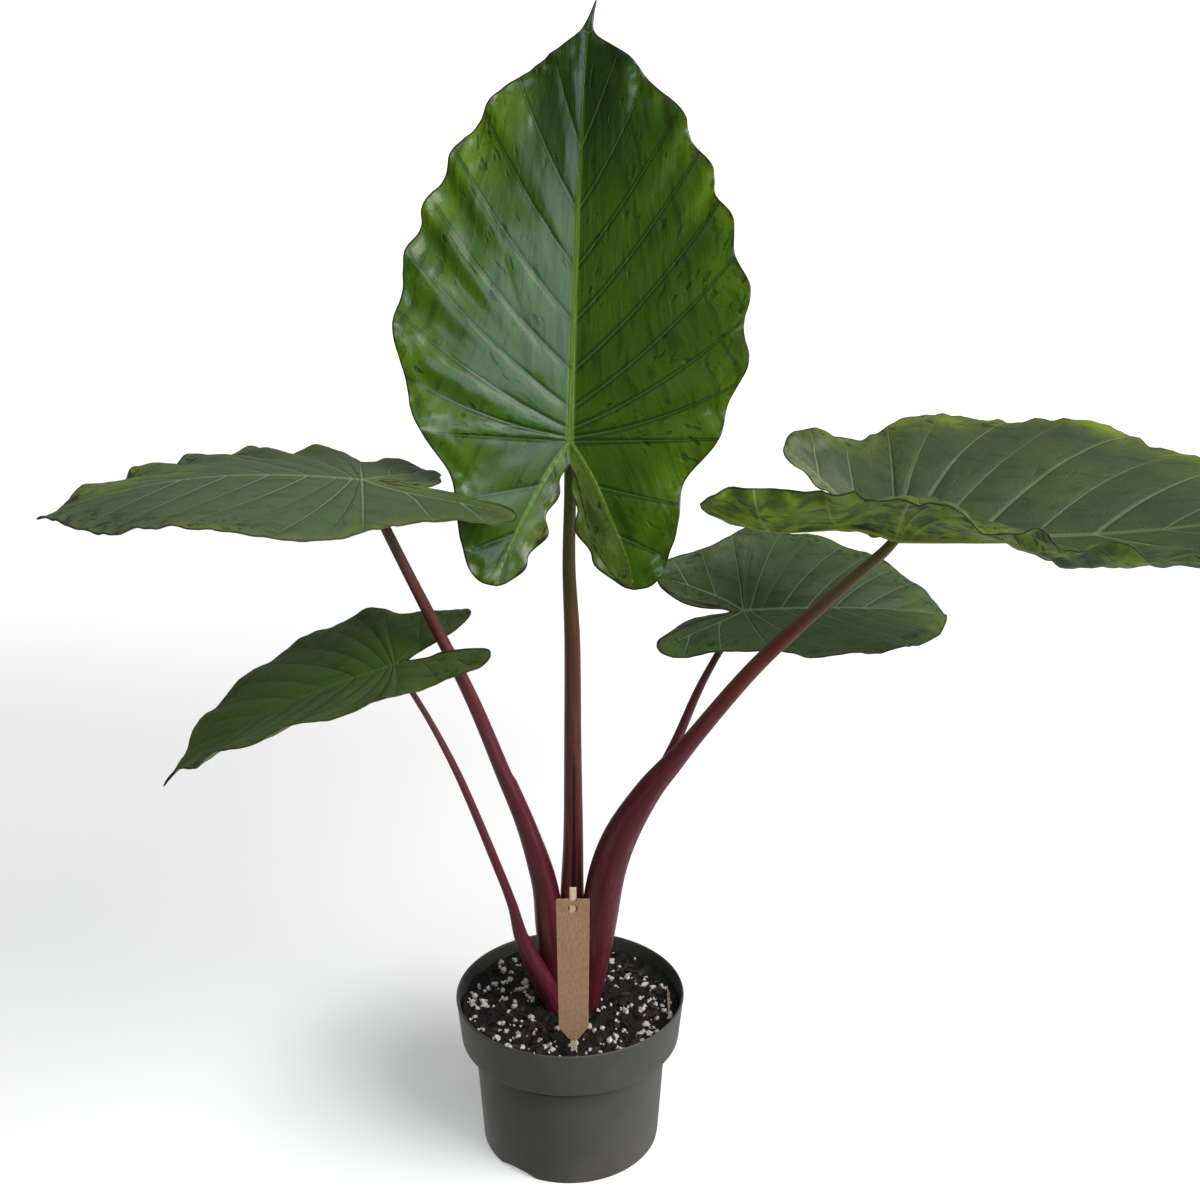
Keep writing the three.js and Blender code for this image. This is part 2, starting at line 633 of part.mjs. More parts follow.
function potSolid() {
  const bandBottom = POT_HEIGHT - BAND_HEIGHT;
  const lipBottom = POT_HEIGHT - LIP_HEIGHT;
  const bandInside = BAND_BOTTOM_RADIUS - POT_WALL;
  const footInside = WALL_FOOT_RADIUS - POT_WALL;
  const [edgeDrop, edgeTop, edgeInside] = LIP_ROUND;
  const [chamferOut, chamferUp] = FOOT_CHAMFER;
  const profile = [
    [0, 0], [FOOT_PAD_RADIUS, 0], [FOOT_PAD_RADIUS + RECESS_SLOPE, FLOOR_RECESS],
    [FOOT_RING_INNER - RECESS_SLOPE, FLOOR_RECESS], [FOOT_RING_INNER, 0], [FOOT_RADIUS, 0],
    [FOOT_RADIUS + chamferOut, chamferUp], [WALL_FOOT_RADIUS, POT_FLOOR],
    [WALL_TOP_RADIUS, bandBottom - STEP_ROUND], [WALL_TOP_RADIUS + STEP_ROUND, bandBottom + STEP_ROUND],
    [BAND_BOTTOM_RADIUS - STEP_ROUND, bandBottom + STEP_ROUND],
    [BAND_BOTTOM_RADIUS, bandBottom + STEP_HEIGHT],
    [RIM_RADIUS - edgeDrop, lipBottom], [RIM_RADIUS, POT_HEIGHT - edgeInside],
    [RIM_RADIUS - edgeDrop, POT_HEIGHT - edgeDrop], [RIM_RADIUS - edgeTop, POT_HEIGHT],
    [RIM_RADIUS - edgeInside, POT_HEIGHT - edgeTop], [RIM_RADIUS - LIP_THICKNESS, lipBottom],
    [bandInside, bandBottom + 2 * STEP_HEIGHT], [WALL_TOP_RADIUS - POT_WALL, bandBottom],
    [footInside, POT_FLOOR + FLOOR_ROUND], [footInside - FLOOR_ROUND, POT_FLOOR], [0, POT_FLOOR],
  ];
  let solid = solidOf(lathe(profile, POT_SEGMENTS));
  for (let i = 0; i < DRAIN_HOLES; i += 1) {
    const drill = new THREE.CylinderGeometry(DRAIN_RADIUS, DRAIN_RADIUS, CUT_LENGTH, DRAIN_SIDES);
    drill.rotateX(Math.PI / 2);
    const angle = (2 * Math.PI * i) / DRAIN_HOLES;
    drill.translate(DRAIN_CIRCLE * Math.cos(angle), DRAIN_CIRCLE * Math.sin(angle), 0);
    solid = solid.subtract(solidOf(drill));
  }
  const notchRadius = ((NOTCH_WIDTH / 2) ** 2 + NOTCH_HEIGHT ** 2) / (2 * NOTCH_HEIGHT);
  for (let i = 0; i < NOTCH_COUNT; i += 1) {
    const cutter = new THREE.CylinderGeometry(notchRadius, notchRadius, CUT_LENGTH, NOTCH_SIDES);
    cutter.translate(0, -FOOT_RADIUS, NOTCH_HEIGHT - notchRadius);
    cutter.rotateZ(radians(NOTCH_TURN + (360 * i) / NOTCH_COUNT));
    solid = solid.subtract(solidOf(cutter));
  }
  return solid;
}

// Soil

function soilHeight(x, y) {
  const [broad, fine] = SOIL_WAVES;
  return SOIL_LEVEL
    + SOIL_ROUGHNESS * Math.sin(x * broad[0] + broad[1]) * Math.cos(y * broad[2] + broad[3])
    + 0.5 * SOIL_ROUGHNESS * Math.sin(x * fine[0] + y * fine[2]);
}

// Radius of the pot's inside at a height, less the clearance to the flats of its wall
function soilRadius(height) {
  const bandBottom = POT_HEIGHT - BAND_HEIGHT;
  const stepTop = bandBottom + 2 * STEP_HEIGHT;
  const low = WALL_FOOT_RADIUS - POT_WALL;
  const high = WALL_TOP_RADIUS - POT_WALL;
  const bandInside = BAND_BOTTOM_RADIUS - POT_WALL;
  const lipInside = RIM_RADIUS - LIP_THICKNESS;
  const { mapLinear } = THREE.MathUtils;
  const inside = height <= bandBottom
    ? mapLinear(height, POT_FLOOR + FLOOR_ROUND, bandBottom, low, high)
    : mapLinear(height, stepTop, POT_HEIGHT - LIP_HEIGHT, bandInside, lipInside);
  return inside * Math.cos(Math.PI / POT_SEGMENTS) - GAP;
}

function soilBody() {
  const bandBottom = POT_HEIGHT - BAND_HEIGHT;
  const foot = FLOOR_ROUND + GAP;
  const sideHeights = [POT_FLOOR + GAP, POT_FLOOR + foot, bandBottom, bandBottom + SOIL_SHOULDER];
  const positions = [];
  const faces = [];
  positions.push(0, 0, sideHeights[0]);
  sideHeights.forEach((height, level) => {
    const radius = level === 0 ? soilRadius(POT_FLOOR + foot) - foot : soilRadius(height);
    for (let j = 0; j < SOIL_SEGMENTS; j += 1) {
      const angle = (2 * Math.PI * j) / SOIL_SEGMENTS;
      positions.push(radius * Math.cos(angle), radius * Math.sin(angle), height);
    }
  });
  for (let i = SOIL_RINGS; i > 0; i -= 1) {
    const radius = (soilRadius(SOIL_LEVEL) * i) / SOIL_RINGS;
    for (let j = 0; j < SOIL_SEGMENTS; j += 1) {
      const angle = (2 * Math.PI * j) / SOIL_SEGMENTS;
      const x = radius * Math.cos(angle);
      const y = radius * Math.sin(angle);
      positions.push(x, y, soilHeight(x, y));
    }
  }
  const top = positions.length / 3;
  positions.push(0, 0, soilHeight(0, 0));
  const rings = sideHeights.length + SOIL_RINGS;
  const ring = (i, j) => 1 + i * SOIL_SEGMENTS + (j % SOIL_SEGMENTS);
  for (let j = 0; j < SOIL_SEGMENTS; j += 1) {
    faces.push(0, ring(0, j + 1), ring(0, j));
    for (let i = 0; i < rings - 1; i += 1) {
      faces.push(ring(i, j), ring(i, j + 1), ring(i + 1, j + 1));
      faces.push(ring(i, j), ring(i + 1, j + 1), ring(i + 1, j));
    }
    faces.push(ring(rings - 1, j), ring(rings - 1, j + 1), top);
  }
  return new wasm.Manifold(new wasm.Mesh({
    numProp: 3, vertProperties: new Float32Array(positions), triVerts: new Uint32Array(faces),
  }));
}

// A place on the soil away from the stalks, the stick and the wall
function soilPlace(random, reach) {
  for (;;) {
    const angle = 2 * Math.PI * random();
    const radius = reach * Math.sqrt(random());
    const x = radius * Math.cos(angle);
    const y = radius * Math.sin(angle);
    const nearStalks = Math.hypot(x, y) < GRAIN_MARGIN.stalks;
    const nearStick = Math.hypot(x - TAG_X, y - TAG_Y) < GRAIN_MARGIN.stick;
    if (!nearStalks && !nearStick) return [x, y];
  }
}

function soilSolid(holes) {
  const random = makeRandom(SOIL_SEED);
  const pieces = [soilBody()];
  const between = ([low, high]) => low + (high - low) * random();
  for (let i = 0; i < PERLITE_COUNT; i += 1) {
    const size = between(PERLITE_SIZE);
    const [x, y] = soilPlace(random, soilRadius(SOIL_LEVEL) - GRAIN_MARGIN.perlite);
    const grain = new THREE.OctahedronGeometry(size, 0);
    grain.rotateX(random() * Math.PI);
    grain.rotateY(random() * Math.PI);
    grain.translate(x, y, soilHeight(x, y) + size * PERLITE_RISE);
    pieces.push(solidOf(grain));
  }
  for (let i = 0; i < BARK_COUNT; i += 1) {
    const [length, width, height] = BARK_SIZE.map(between);
    const [x, y] = soilPlace(random, soilRadius(SOIL_LEVEL) - GRAIN_MARGIN.bark);
    const chip = new THREE.BoxGeometry(length, width, height);
    chip.rotateX((random() - 0.5) * BARK_TILT);
    chip.rotateY((random() - 0.5) * BARK_TILT);
    chip.rotateZ(random() * Math.PI);
    chip.translate(x, y, soilHeight(x, y) + height * BARK_RISE);
    pieces.push(solidOf(chip));
  }
  return largestBody(wasm.Manifold.union(pieces).subtract(wasm.Manifold.union(holes)));
}

// Tag and stick

function tagSolid() {
  const half = TAG_TOP_WIDTH / 2;
  const slot = STICK_WIDTH / 2 + GAP;
  const shape = new THREE.Shape();
  shape.moveTo(slot, TAG_TOP);
  shape.lineTo(half - TAG_CORNER, TAG_TOP);
  shape.quadraticCurveTo(half, TAG_TOP, half, TAG_TOP - TAG_CORNER);
  shape.lineTo(TAG_SHOULDER_WIDTH / 2, TAG_SHOULDER);
  shape.lineTo(TAG_POINT_WIDTH / 2, TAG_POINT);
  shape.lineTo(-TAG_POINT_WIDTH / 2, TAG_POINT);
  shape.lineTo(-TAG_SHOULDER_WIDTH / 2, TAG_SHOULDER);
  shape.lineTo(-half, TAG_TOP - TAG_CORNER);
  shape.quadraticCurveTo(-half, TAG_TOP, -half + TAG_CORNER, TAG_TOP);
  shape.lineTo(-slot, TAG_TOP);
  shape.lineTo(-slot, TAG_TOP - TAG_SLOT_DEPTH);
  shape.lineTo(slot, TAG_TOP - TAG_SLOT_DEPTH);
  shape.closePath();
  const geometry = new THREE.ExtrudeGeometry(shape, {
    depth: TAG_THICKNESS, bevelEnabled: false, curveSegments: TAG_CORNER_SIDES,
  });
  geometry.rotateX(Math.PI / 2);
  geometry.translate(TAG_X, TAG_Y + TAG_THICKNESS / 2, 0);
  const punch = new THREE.CylinderGeometry(TAG_HOLE_RADIUS, TAG_HOLE_RADIUS, PUNCH_LENGTH, TAG_HOLE_SIDES);
  punch.translate(TAG_X, TAG_Y, TAG_HOLE_Z);
  return solidOf(geometry).subtract(solidOf(punch));
}

function stickSolid(extra) {
  const height = STICK_TOP - STICK_BOTTOM;
  const geometry = new THREE.BoxGeometry(
    STICK_WIDTH + 2 * extra, STICK_THICKNESS + 2 * extra, height + 2 * extra,
  );
  const y = TAG_Y + TAG_THICKNESS / 2 + GAP + STICK_THICKNESS / 2;
  geometry.translate(TAG_X, y, STICK_BOTTOM + height / 2);
  return solidOf(geometry);
}

// Assembly

const stem = stemSolid(0);
const stemCutter = stemSolid(GAP);
const stalkCutters = STALKS.map((stalk) => stalkSolid(stalk, CLASP_GAP));

addNode('pot', potSolid(), materials.pot);
addNode('soil', soilSolid([stemCutter, stickSolid(GAP), ...stalkCutters]), materials.soil);
addNode('stem', stem, materials.stem);

STALKS.forEach((stalk, index) => {
  const leaf = LEAVES.find((one) => one.name === stalk.name);
  const cutters = [stemCutter, bladeSolid(leaf, GAP), ...stalkCutters.slice(0, index)];
  if (stalk.name === 'crown') cutters.push(grooveCutter());
  const solid = stalkSolid(stalk, 0).subtract(wasm.Manifold.union(cutters));
  addNode(`stalk_${stalk.name}`, largestBody(solid), materials.stalk);
});

for (const leaf of LEAVES) {
  const material = leaf.name === 'crown' ? materials.leaf : materials.shadedLeaf;
  addNode(`leaf_${leaf.name}`, bladeSolid(leaf, 0), material);
}

addNode('plant_tag', tagSolid(), materials.card);
addNode('tag_stick', stickSolid(0), materials.wood);

export default group;
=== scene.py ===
# Looks of the potted alocasia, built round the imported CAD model.
# Sizes are millimetres in the frame of the CAD model and are turned into metres with MM.
# Colours are screen values from 0 to 255, and are turned into linear ones where they are mixed.
# The plant's front faces -Y, and +X is to the right seen from the front.

import math
import random
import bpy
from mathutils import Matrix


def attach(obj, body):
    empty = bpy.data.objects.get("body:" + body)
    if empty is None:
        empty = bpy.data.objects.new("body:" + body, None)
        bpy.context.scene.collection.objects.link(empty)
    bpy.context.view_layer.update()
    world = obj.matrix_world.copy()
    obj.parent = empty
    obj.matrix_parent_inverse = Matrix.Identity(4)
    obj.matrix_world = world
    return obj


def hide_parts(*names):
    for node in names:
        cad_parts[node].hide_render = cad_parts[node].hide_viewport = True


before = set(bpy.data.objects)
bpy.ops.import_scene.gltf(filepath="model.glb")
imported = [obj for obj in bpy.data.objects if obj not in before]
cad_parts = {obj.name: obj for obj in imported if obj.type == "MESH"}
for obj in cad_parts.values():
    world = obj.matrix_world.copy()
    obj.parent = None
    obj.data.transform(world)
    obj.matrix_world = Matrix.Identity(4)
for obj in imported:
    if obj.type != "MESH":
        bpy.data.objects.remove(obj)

from types import SimpleNamespace

import bmesh
import bpy
import numpy as np
from mathutils import Matrix, Vector, noise

MM = 0.001
BODY = "root"
UPRIGHT = Matrix.Rotation(math.radians(90), 4, "X")
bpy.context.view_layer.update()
scene = bpy.context.scene


# Objects and meshes


def new_object(name, data):
    made = bpy.data.objects.new(name, data)
    scene.collection.objects.link(made)
    return made


def add_piece(name, mesh, node):
    """A piece that stands in the place of a node of the CAD model."""
    piece = new_object(name, mesh)
    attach(piece, BODY)
    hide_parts(node)


def dress(mesh, *materials):
    """Makes a mesh smooth all over and gives it its materials."""
    mesh.polygons.foreach_set("use_smooth", np.ones(len(mesh.polygons), bool))
    mesh.materials.clear()
    for material in materials:
        mesh.materials.append(material)
    return mesh


def new_mesh(name, vertices, faces, *materials):
    mesh = bpy.data.meshes.new(name)
    mesh.from_pydata((np.asarray(vertices) * MM).tolist(), [], faces)
    return dress(mesh, *materials)


def mesh_from(built, name):
    mesh = bpy.data.meshes.new(name)
    built.to_mesh(mesh)
    built.free()
    return mesh


def evaluated_mesh(shape):
    """The mesh of an object with its modifiers and bevels worked in."""
    return bpy.data.meshes.new_from_object(shape.evaluated_get(bpy.context.evaluated_depsgraph_get()))


def add_attribute(mesh, name, domain, values):
    kind, field = ("FLOAT", "value") if values.ndim == 1 else ("FLOAT_VECTOR", "vector")
    mesh.attributes.new(name, kind, domain).data.foreach_set(field, values.ravel())


def unit(vectors):
    return vectors / np.linalg.norm(vectors, axis=-1, keepdims=True)


def smooth(value, low, high):
    part = np.clip((value - low) / (high - low), 0, 1)
    return part * part * (3 - 2 * part)


def hump(part):
    return 4 * part * (1 - part)


def corner_arc(before, corner, after, reach_in, reach_out, steps):
    """The points of a small arc in the place of a corner."""
    before, corner, after = (np.array(point, float) for point in (before, corner, after))
    start = corner + unit(before - corner) * reach_in
    end = corner + unit(after - corner) * reach_out
    shares = np.arange(steps + 1) / steps
    return [(1 - w) ** 2 * start + 2 * w * (1 - w) * corner + w**2 * end for w in shares]


def ring(radius, height, segments):
    """The points of a level ring round the axis."""
    angles = 2 * np.pi * np.arange(segments) / segments
    return np.stack([radius * np.cos(angles), radius * np.sin(angles), np.full(segments, float(height))], -1)


def tube_faces(count, sides):
    """The quads between rings of points."""
    index = np.arange(count * sides).reshape(count, sides)
    turned = np.roll(index, -1, axis=1)
    return np.stack([index[:-1], turned[:-1], turned[1:], index[1:]], -1).reshape(-1, 4).tolist()


def tube(rings, start, end=None):
    """Points and faces round rings of points, closed by a fan to a point at the start and at the end."""
    count, sides = rings.shape[:2]
    points, faces = [*rings.reshape(-1, 3), start], tube_faces(count, sides)
    last = (count - 1) * sides
    for side in range(sides):
        after = (side + 1) % sides
        faces.append([count * sides, after, side])
        if end is not None:
            faces.append([count * sides + 1, last + side, last + after])
    return points if end is None else [*points, end], faces


def lathe(profile, segments):
    """A turned body. Its profile starts on the axis, and the body is closed if it ends there too."""
    closed = profile[-1][0] == 0
    rings = [ring(radius, height, segments) for radius, height in (profile[1:-1] if closed else profile[1:])]
    end = (0, 0, profile[-1][1]) if closed else None
    return tube(np.array(rings), (0, 0, profile[0][1]), end)


# Camera at the photograph's viewing angle
CAMERA_PLACE = (22.3, -862.1, 657)
CAMERA_DIP = 15.37
CAMERA_LENS = 39
CAMERA_SENSOR = 36

camera_data = bpy.data.cameras.new("camera")
camera_data.lens = CAMERA_LENS
camera_data.sensor_width = CAMERA_SENSOR
camera = new_object("camera", camera_data)
camera.location = Vector(CAMERA_PLACE) * MM
camera.rotation_euler = (math.radians(90 - CAMERA_DIP), 0, 0)
scene.camera = camera


# Materials


def colour(red, green, blue):
    """A colour given in screen values, as a linear colour."""
    values = []
    for value in (red, green, blue):
        part = value / 255
        values.append(part / 12.92 if part <= 0.04045 else ((part + 0.055) / 1.055) ** 2.4)
    return (*values, 1)


class Nodes:
    """Short ways to add nodes to a tree."""

    def __init__(self, tree):
        self.tree = tree

    def set(self, socket, value):
        if isinstance(value, bpy.types.NodeSocket):
            self.tree.links.new(value, socket)
        else:
            socket.default_value = value

    def node(self, kind, inputs, **settings):
        node = self.tree.nodes.new(kind)
        for key, value in settings.items():
            setattr(node, key, value)
        for key, value in inputs.items():
            self.set(node.inputs[key], value)
        return node

    def attribute(self, name, output="Fac"):
        return self.node("ShaderNodeAttribute", {}, attribute_name=name).outputs[output]

    def place(self, scale=(1, 1, 1)):
        place = self.node("ShaderNodeTexCoord", {}).outputs["Object"]
        return place if scale == (1, 1, 1) else self.stretch(place, scale)

    def stretch(self, vector, scale):
        return self.node("ShaderNodeMapping", {"Vector": vector, "Scale": scale}).outputs[0]

    def axes(self, vector):
        return self.node("ShaderNodeSeparateXYZ", {0: vector}).outputs

    def math(self, operation, a, b=0.0, clamp=False):
        return self.node("ShaderNodeMath", {0: a, 1: b}, operation=operation, use_clamp=clamp).outputs[0]

    def times(self, a, b):
        return self.math("MULTIPLY", a, b)

    def plus(self, a, b):
        return self.math("ADD", a, b)

    def fade(self, value, start, end, low=0.0, high=1.0):
        inputs = {"Value": value, "From Min": start, "From Max": end, "To Min": low, "To Max": high}
        return self.node("ShaderNodeMapRange", inputs, interpolation_type="SMOOTHSTEP").outputs["Result"]

    def noise(self, vector, scale, detail, roughness, distortion=0.0):
        inputs = {"Vector": vector, "Scale": scale, "Detail": detail, "Roughness": roughness}
        return self.node("ShaderNodeTexNoise", {**inputs, "Distortion": distortion}).outputs["Fac"]

    def cells(self, vector, scale):
        inputs = {"Vector": vector, "Scale": scale}
        return self.node("ShaderNodeTexVoronoi", inputs, feature="DISTANCE_TO_EDGE").outputs["Distance"]


class Paint(Nodes):
    """The nodes of a material. Its tone is the colour of the surface so far."""

    SOCKETS = {
        "roughness": "Roughness", "normal": "Normal", "ior": "IOR", "specular": "Specular IOR Level",
        "coat": "Coat Weight", "coat_roughness": "Coat Roughness", "coat_ior": "Coat IOR",
        "glow_tone": "Emission Color", "glow": "Emission Strength",
    }

    def __init__(self, name):
        self.material = bpy.data.materials.new(name)
        self.material.use_nodes = True
        super().__init__(self.material.node_tree)

    def mix(self, share, a, b):
        a, b = (colour(*value) if isinstance(value, tuple) else value for value in (a, b))
        return self.node("ShaderNodeMix", {0: share, 6: a, 7: b}, data_type="RGBA").outputs[2]

    def cover(self, share, tone):
        """Lays a share of another colour over the surface."""
        self.tone = self.mix(share, self.tone, tone)

    def bump(self, height, depth, below=None):
        inputs = {"Height": height, "Distance": depth * MM}
        if below is not None:
            inputs["Normal"] = below
        return self.node("ShaderNodeBump", inputs).outputs["Normal"]

    def finish(self, **sockets):
        """Sets the shader's colour and other sockets, and gives the material back."""
        shader = self.tree.nodes["Principled BSDF"].inputs
        self.set(shader["Base Color"], self.tone)
        for name, value in sockets.items():
            self.set(shader[self.SOCKETS[name]], value)
        return self.material


def grained(name, first, second, roughness, grain, depth=0, scale=(1, 1, 1)):
    """A material of two colours mixed by a noise, with a relief of the same noise."""
    paint = Paint(name)
    tone = paint.noise(paint.place(scale), *grain)
    paint.tone = paint.mix(paint.fade(tone, 0.35, 0.65), first, second)
    relief = {"normal": paint.bump(tone, depth)} if depth else {}
    return paint.finish(roughness=roughness, **relief)


# Leaf materials
CLEFT_MARK = -1.0


class LeafPaint(Paint):
    """Paint with the places on a leaf, and the distances from its margin, its veins and its ribs."""

    def __init__(self, name, looks):
        super().__init__(name)
        self.looks = looks
        self.flat, self.lanes = self.attribute("flat", "Vector"), self.attribute("lanes", "Vector")
        self.edge, self.vein, self.rib = (self.attribute(line) for line in ("edge", "vein", "rib"))

    def near(self, line, full, none, share):
        """A share that is whole on a line and falls to nothing away from it."""
        return self.fade(line, full, none, share, 0)

    def blotches(self):
        """Deep green with bright blotches, most of them near the margin, where the brightness is partly the
        leaf's own colour and partly painted light shining through the thin blade.
        """
        looks = self.looks
        blotchy = self.fade(self.noise(self.flat, 0.022, 3, 0.55), 0.36, 0.66)
        near_edge = self.near(self.edge, 0, looks.margin_reach, 1)
        bright = self.times(near_edge, self.plus(self.times(blotchy, 0.75), 0.25))
        bright = self.math("ADD", bright, self.times(blotchy, looks.blotch), clamp=True)
        self.tone = self.mix(bright, looks.deep, looks.bright)
        return blotchy

    def flecks(self):
        """Painted shade on puckers in soft bands across the leaf, and painted shade in short dents along its
        veins.
        """
        looks = self.looks
        cross = self.noise(self.lanes, 1.0, 2, 0.5, 0.4)
        self.cover(self.fade(cross, 0.5, 0.72, 0, looks.cross), looks.shade)
        clumps = self.fade(self.noise(self.flat, 0.035, 2, 0.5), 0.48, 0.6)
        dash = self.noise(self.stretch(self.lanes, (4.6, 0.7, 1)), 1.0, 1, 0.4)
        dash = self.times(self.fade(dash, 0.58, 0.72), clumps)
        self.cover(self.times(dash, looks.dash), looks.shade)
        return cross, dash

    def heart_and_tip(self, along, across, blotchy):
        """The dark area beside the upper midrib, and the yellow green towards the tip."""
        looks = self.looks
        inner = self.near(self.math("ABSOLUTE", across), looks.dark_width * 0.4, looks.dark_width, 1)
        upper = self.fade(along, looks.dark_from, looks.dark_from + 90, 0, looks.dark)
        self.cover(self.times(inner, upper), looks.shade)
        tip = self.times(self.fade(along, *looks.tip_reach, 0, looks.tip_share), blotchy)
        if looks.tip_side:
            tip = self.times(tip, self.fade(self.times(across, looks.tip_side), -4, 14))
        self.cover(tip, looks.tip_tone)

    def shade_creases(self, along):
        """Painted shade in the creases near the margin."""
        looks = self.looks
        crease = self.noise(self.stretch(self.flat, (0.1, 0.15, 1)), 1.0, 2, 0.6, 1.2)
        crease = self.fade(crease, looks.crease_from, looks.crease_from + 0.1)
        crease = self.times(crease, self.near(self.edge, 6, 30, looks.crease))
        self.cover(self.times(crease, self.fade(along, *looks.crease_reach)), looks.shade)

    def vein_lines(self, along, minor):
        """Shade beside the veins, the pale veins and ribs, and the dark line at the margin."""
        looks = self.looks
        self.cover(self.near(self.vein, 1.2, 5, looks.beside), looks.shade)
        on_minor = self.times(self.near(minor, 0.5, 1.6, looks.minor), self.math("GREATER_THAN", minor, 0))
        self.cover(on_minor, looks.pale)
        self.cover(self.near(self.vein, 0.4, looks.vein_edge, looks.vein), looks.pale)
        on_rib = self.near(self.rib, 0.6 * looks.rib_edge, looks.rib_edge, looks.ribs)
        self.cover(self.times(on_rib, self.fade(along, *looks.rib_reach, 1, looks.rib_end)), looks.rib)
        self.cover(self.near(self.edge, 0.5, 1.2, 0.9), looks.rim)

    def relief(self, cross, dash, net):
        looks = self.looks
        normal = self.bump(cross, looks.pucker)
        normal = self.bump(dash, -1.6 * looks.dash, normal)
        normal = self.bump(self.fade(self.vein, 0.4, 3.2), looks.groove, normal)
        normal = self.bump(self.noise(self.flat, 0.75, 4, 0.6), 0.11, normal)
        return self.bump(self.fade(net, 0, 0.2), 0.035, normal)


def leaf_top(name, looks):
    """The upper face of a leaf: the blade with its marks, its veins and ribs, and its relief."""
    paint = LeafPaint(name, looks)
    along, across, _ = paint.axes(paint.flat)
    minor = paint.attribute("minor")
    blotchy = paint.blotches()
    paint.cover(paint.near(minor, CLEFT_MARK, CLEFT_MARK + 0.5, looks.cleft_share), looks.cleft_tone)
    cross, dash = paint.flecks()
    paint.heart_and_tip(along, across, blotchy)
    paint.shade_creases(along)
    net = paint.cells(paint.flat, 0.42)
    paint.cover(paint.near(net, 0, 0.12, looks.net), looks.pale)
    paint.vein_lines(along, minor)
    wear = paint.noise(paint.flat, 0.3, 4, 0.6)
    return paint.finish(
        roughness=paint.fade(wear, 0.3, 0.7, looks.gloss, looks.gloss + 0.1), specular=looks.specular,
        coat=looks.coat, coat_roughness=looks.coat_roughness, coat_ior=1.5,
        normal=paint.relief(cross, dash, net),
    )


def leaf_under(name, looks):
    """The lower face of a leaf, paler and duller, with its raised veins. Its yellow green is partly the
    face's own colour and partly painted light shining through the blade.
    """
    paint = LeafPaint(name, looks)
    blotch = paint.noise(paint.flat, 0.045, 4, 0.6)
    paint.tone = paint.mix(paint.fade(blotch, 0.38, 0.62), looks.under, looks.under_dark)
    # Painted shade in the creases of the lower face.
    crease = paint.noise(paint.lanes, 1.4, 3, 0.6, 0.8)
    paint.cover(paint.fade(crease, 0.54, 0.66, 0, 0.85), looks.under_crease)
    near_edge = paint.near(paint.edge, 2, 26, 0.6)
    paint.cover(paint.times(near_edge, paint.fade(blotch, 0.45, 0.6)), looks.under_edge)
    paint.cover(paint.near(paint.vein, 0.6, 1.6, 0.7), looks.under_pale)
    paint.cover(paint.near(paint.rib, 0.8, 1.2, 0.8), looks.under_pale)
    paint.cover(paint.near(paint.edge, 0.5, 1.3, 0.85), looks.rim)
    fine = paint.bump(paint.noise(paint.flat, 0.5, 4, 0.6), 0.3)
    return paint.finish(roughness=0.5, ior=1.4, normal=paint.bump(paint.cells(paint.flat, 0.4), 0.12, fine))


def leaf_rim(name, looks):
    """The narrow side face of a blade."""
    return grained(name, looks.rim, looks.deep, 0.45, (260, 3, 0.6))


# Leaf surface, the same form as the CAD model's leaves
HALF_WIDTH = 0.43
TAIL = 1.065
DROOP_POWER = 1.5
LOBE_REACH = 0.4
WAVE_FADE = 7
WAVE_POWER = 2.5
SCALLOP_POWER = 3
CURVE_SAMPLES = 201
HALVINGS = 30
MIDRIB_STEPS = 40
ARC_STEPS = 12
SLOPE_STEP = 0.5
REFERENCE_LENGTH = 276
JUNCTION_VEIN = 3
VEIN_BOW = 0.05
RAY_STEP = 0.02
LOBE_STRETCH_START = 0.12
TIP_START = 0.95
TAIL_START = 0.985
KNOTS = [-0.355, 0, 0.35, 1]

# Thickness of the blade, and its ribs, veins and grooves
BLADE_THICKNESS = 0.76
EDGE_ROUND = 0.3
RIB_DEPTH = 3.6
RIB_HALF_WIDTH = 3
RIB_TAPER = 0.8
RIDGE_HEIGHT = 0.6
RIDGE_HALF_WIDTH = 3.1
LOBE_RIDGE = 0.62
VEIN_DEPTH = 0.5
VEIN_HALF_WIDTH = 1.2
VEIN_WIDTHS = [0.85, 0.3]
MINOR_WIDTHS = [0.45, 0.3]
MINOR_START = (0.02, 0.2)
FAINT_VEIN = 0.45
GROOVE_DEPTH = 0.24
GROOVE_HALF_WIDTH = 1.5
FAR = 40

# Puckers, crinkles and slack places, by their height, length and reach
PUCKER_SIZE = 0.62
PUCKER_LENGTH = 21
CRINKLE_LENGTH = 8.5
CRINKLE_REACH = 16
SLACK_LENGTH = 13
SLACK_REACH = (0.2, 0.7)
CALM_REACH = 12
FOLD_LENGTH = 26
FOLDS_PER_VEIN = 1.9
LANES_PER_VEIN = 1.1
LANE_STEP = 0.13
CLEFT_LANES = 3
CLEFT_FOLDS = 6
CLEFT_FOLD_LENGTH = 12
RIPPLE_TURNS = 3.4
PUCKER_MIX = (0.7, 0.8, 0.4)
SHORT_FOLDS = (2.3, 2.6, 1)

# Shifts that keep the noises apart from each other, and those of a leaf's two halves too
SHORT_SHIFT = (0, 0, 30)
CRINKLE_SHIFT = (0, 0, 60)
SLACK_SHIFT = (20, 0, 0)
HALF_SHIFTS = {"flat": 40, "lanes": 7, "folds": 9}

# Rows and columns of the mesh. Near a rib or the margin, a column's distance and its largest share of the way
ROWS_PER_VEIN = 14
COLUMNS = 36
CLEFT_COLUMNS = 12
NEAR_RIB = [(0.8, 0.02), (1.6, 0.04), (2.4, 0.06), (3.4, 0.085)]
NEAR_MARGIN = (1, 0.02)

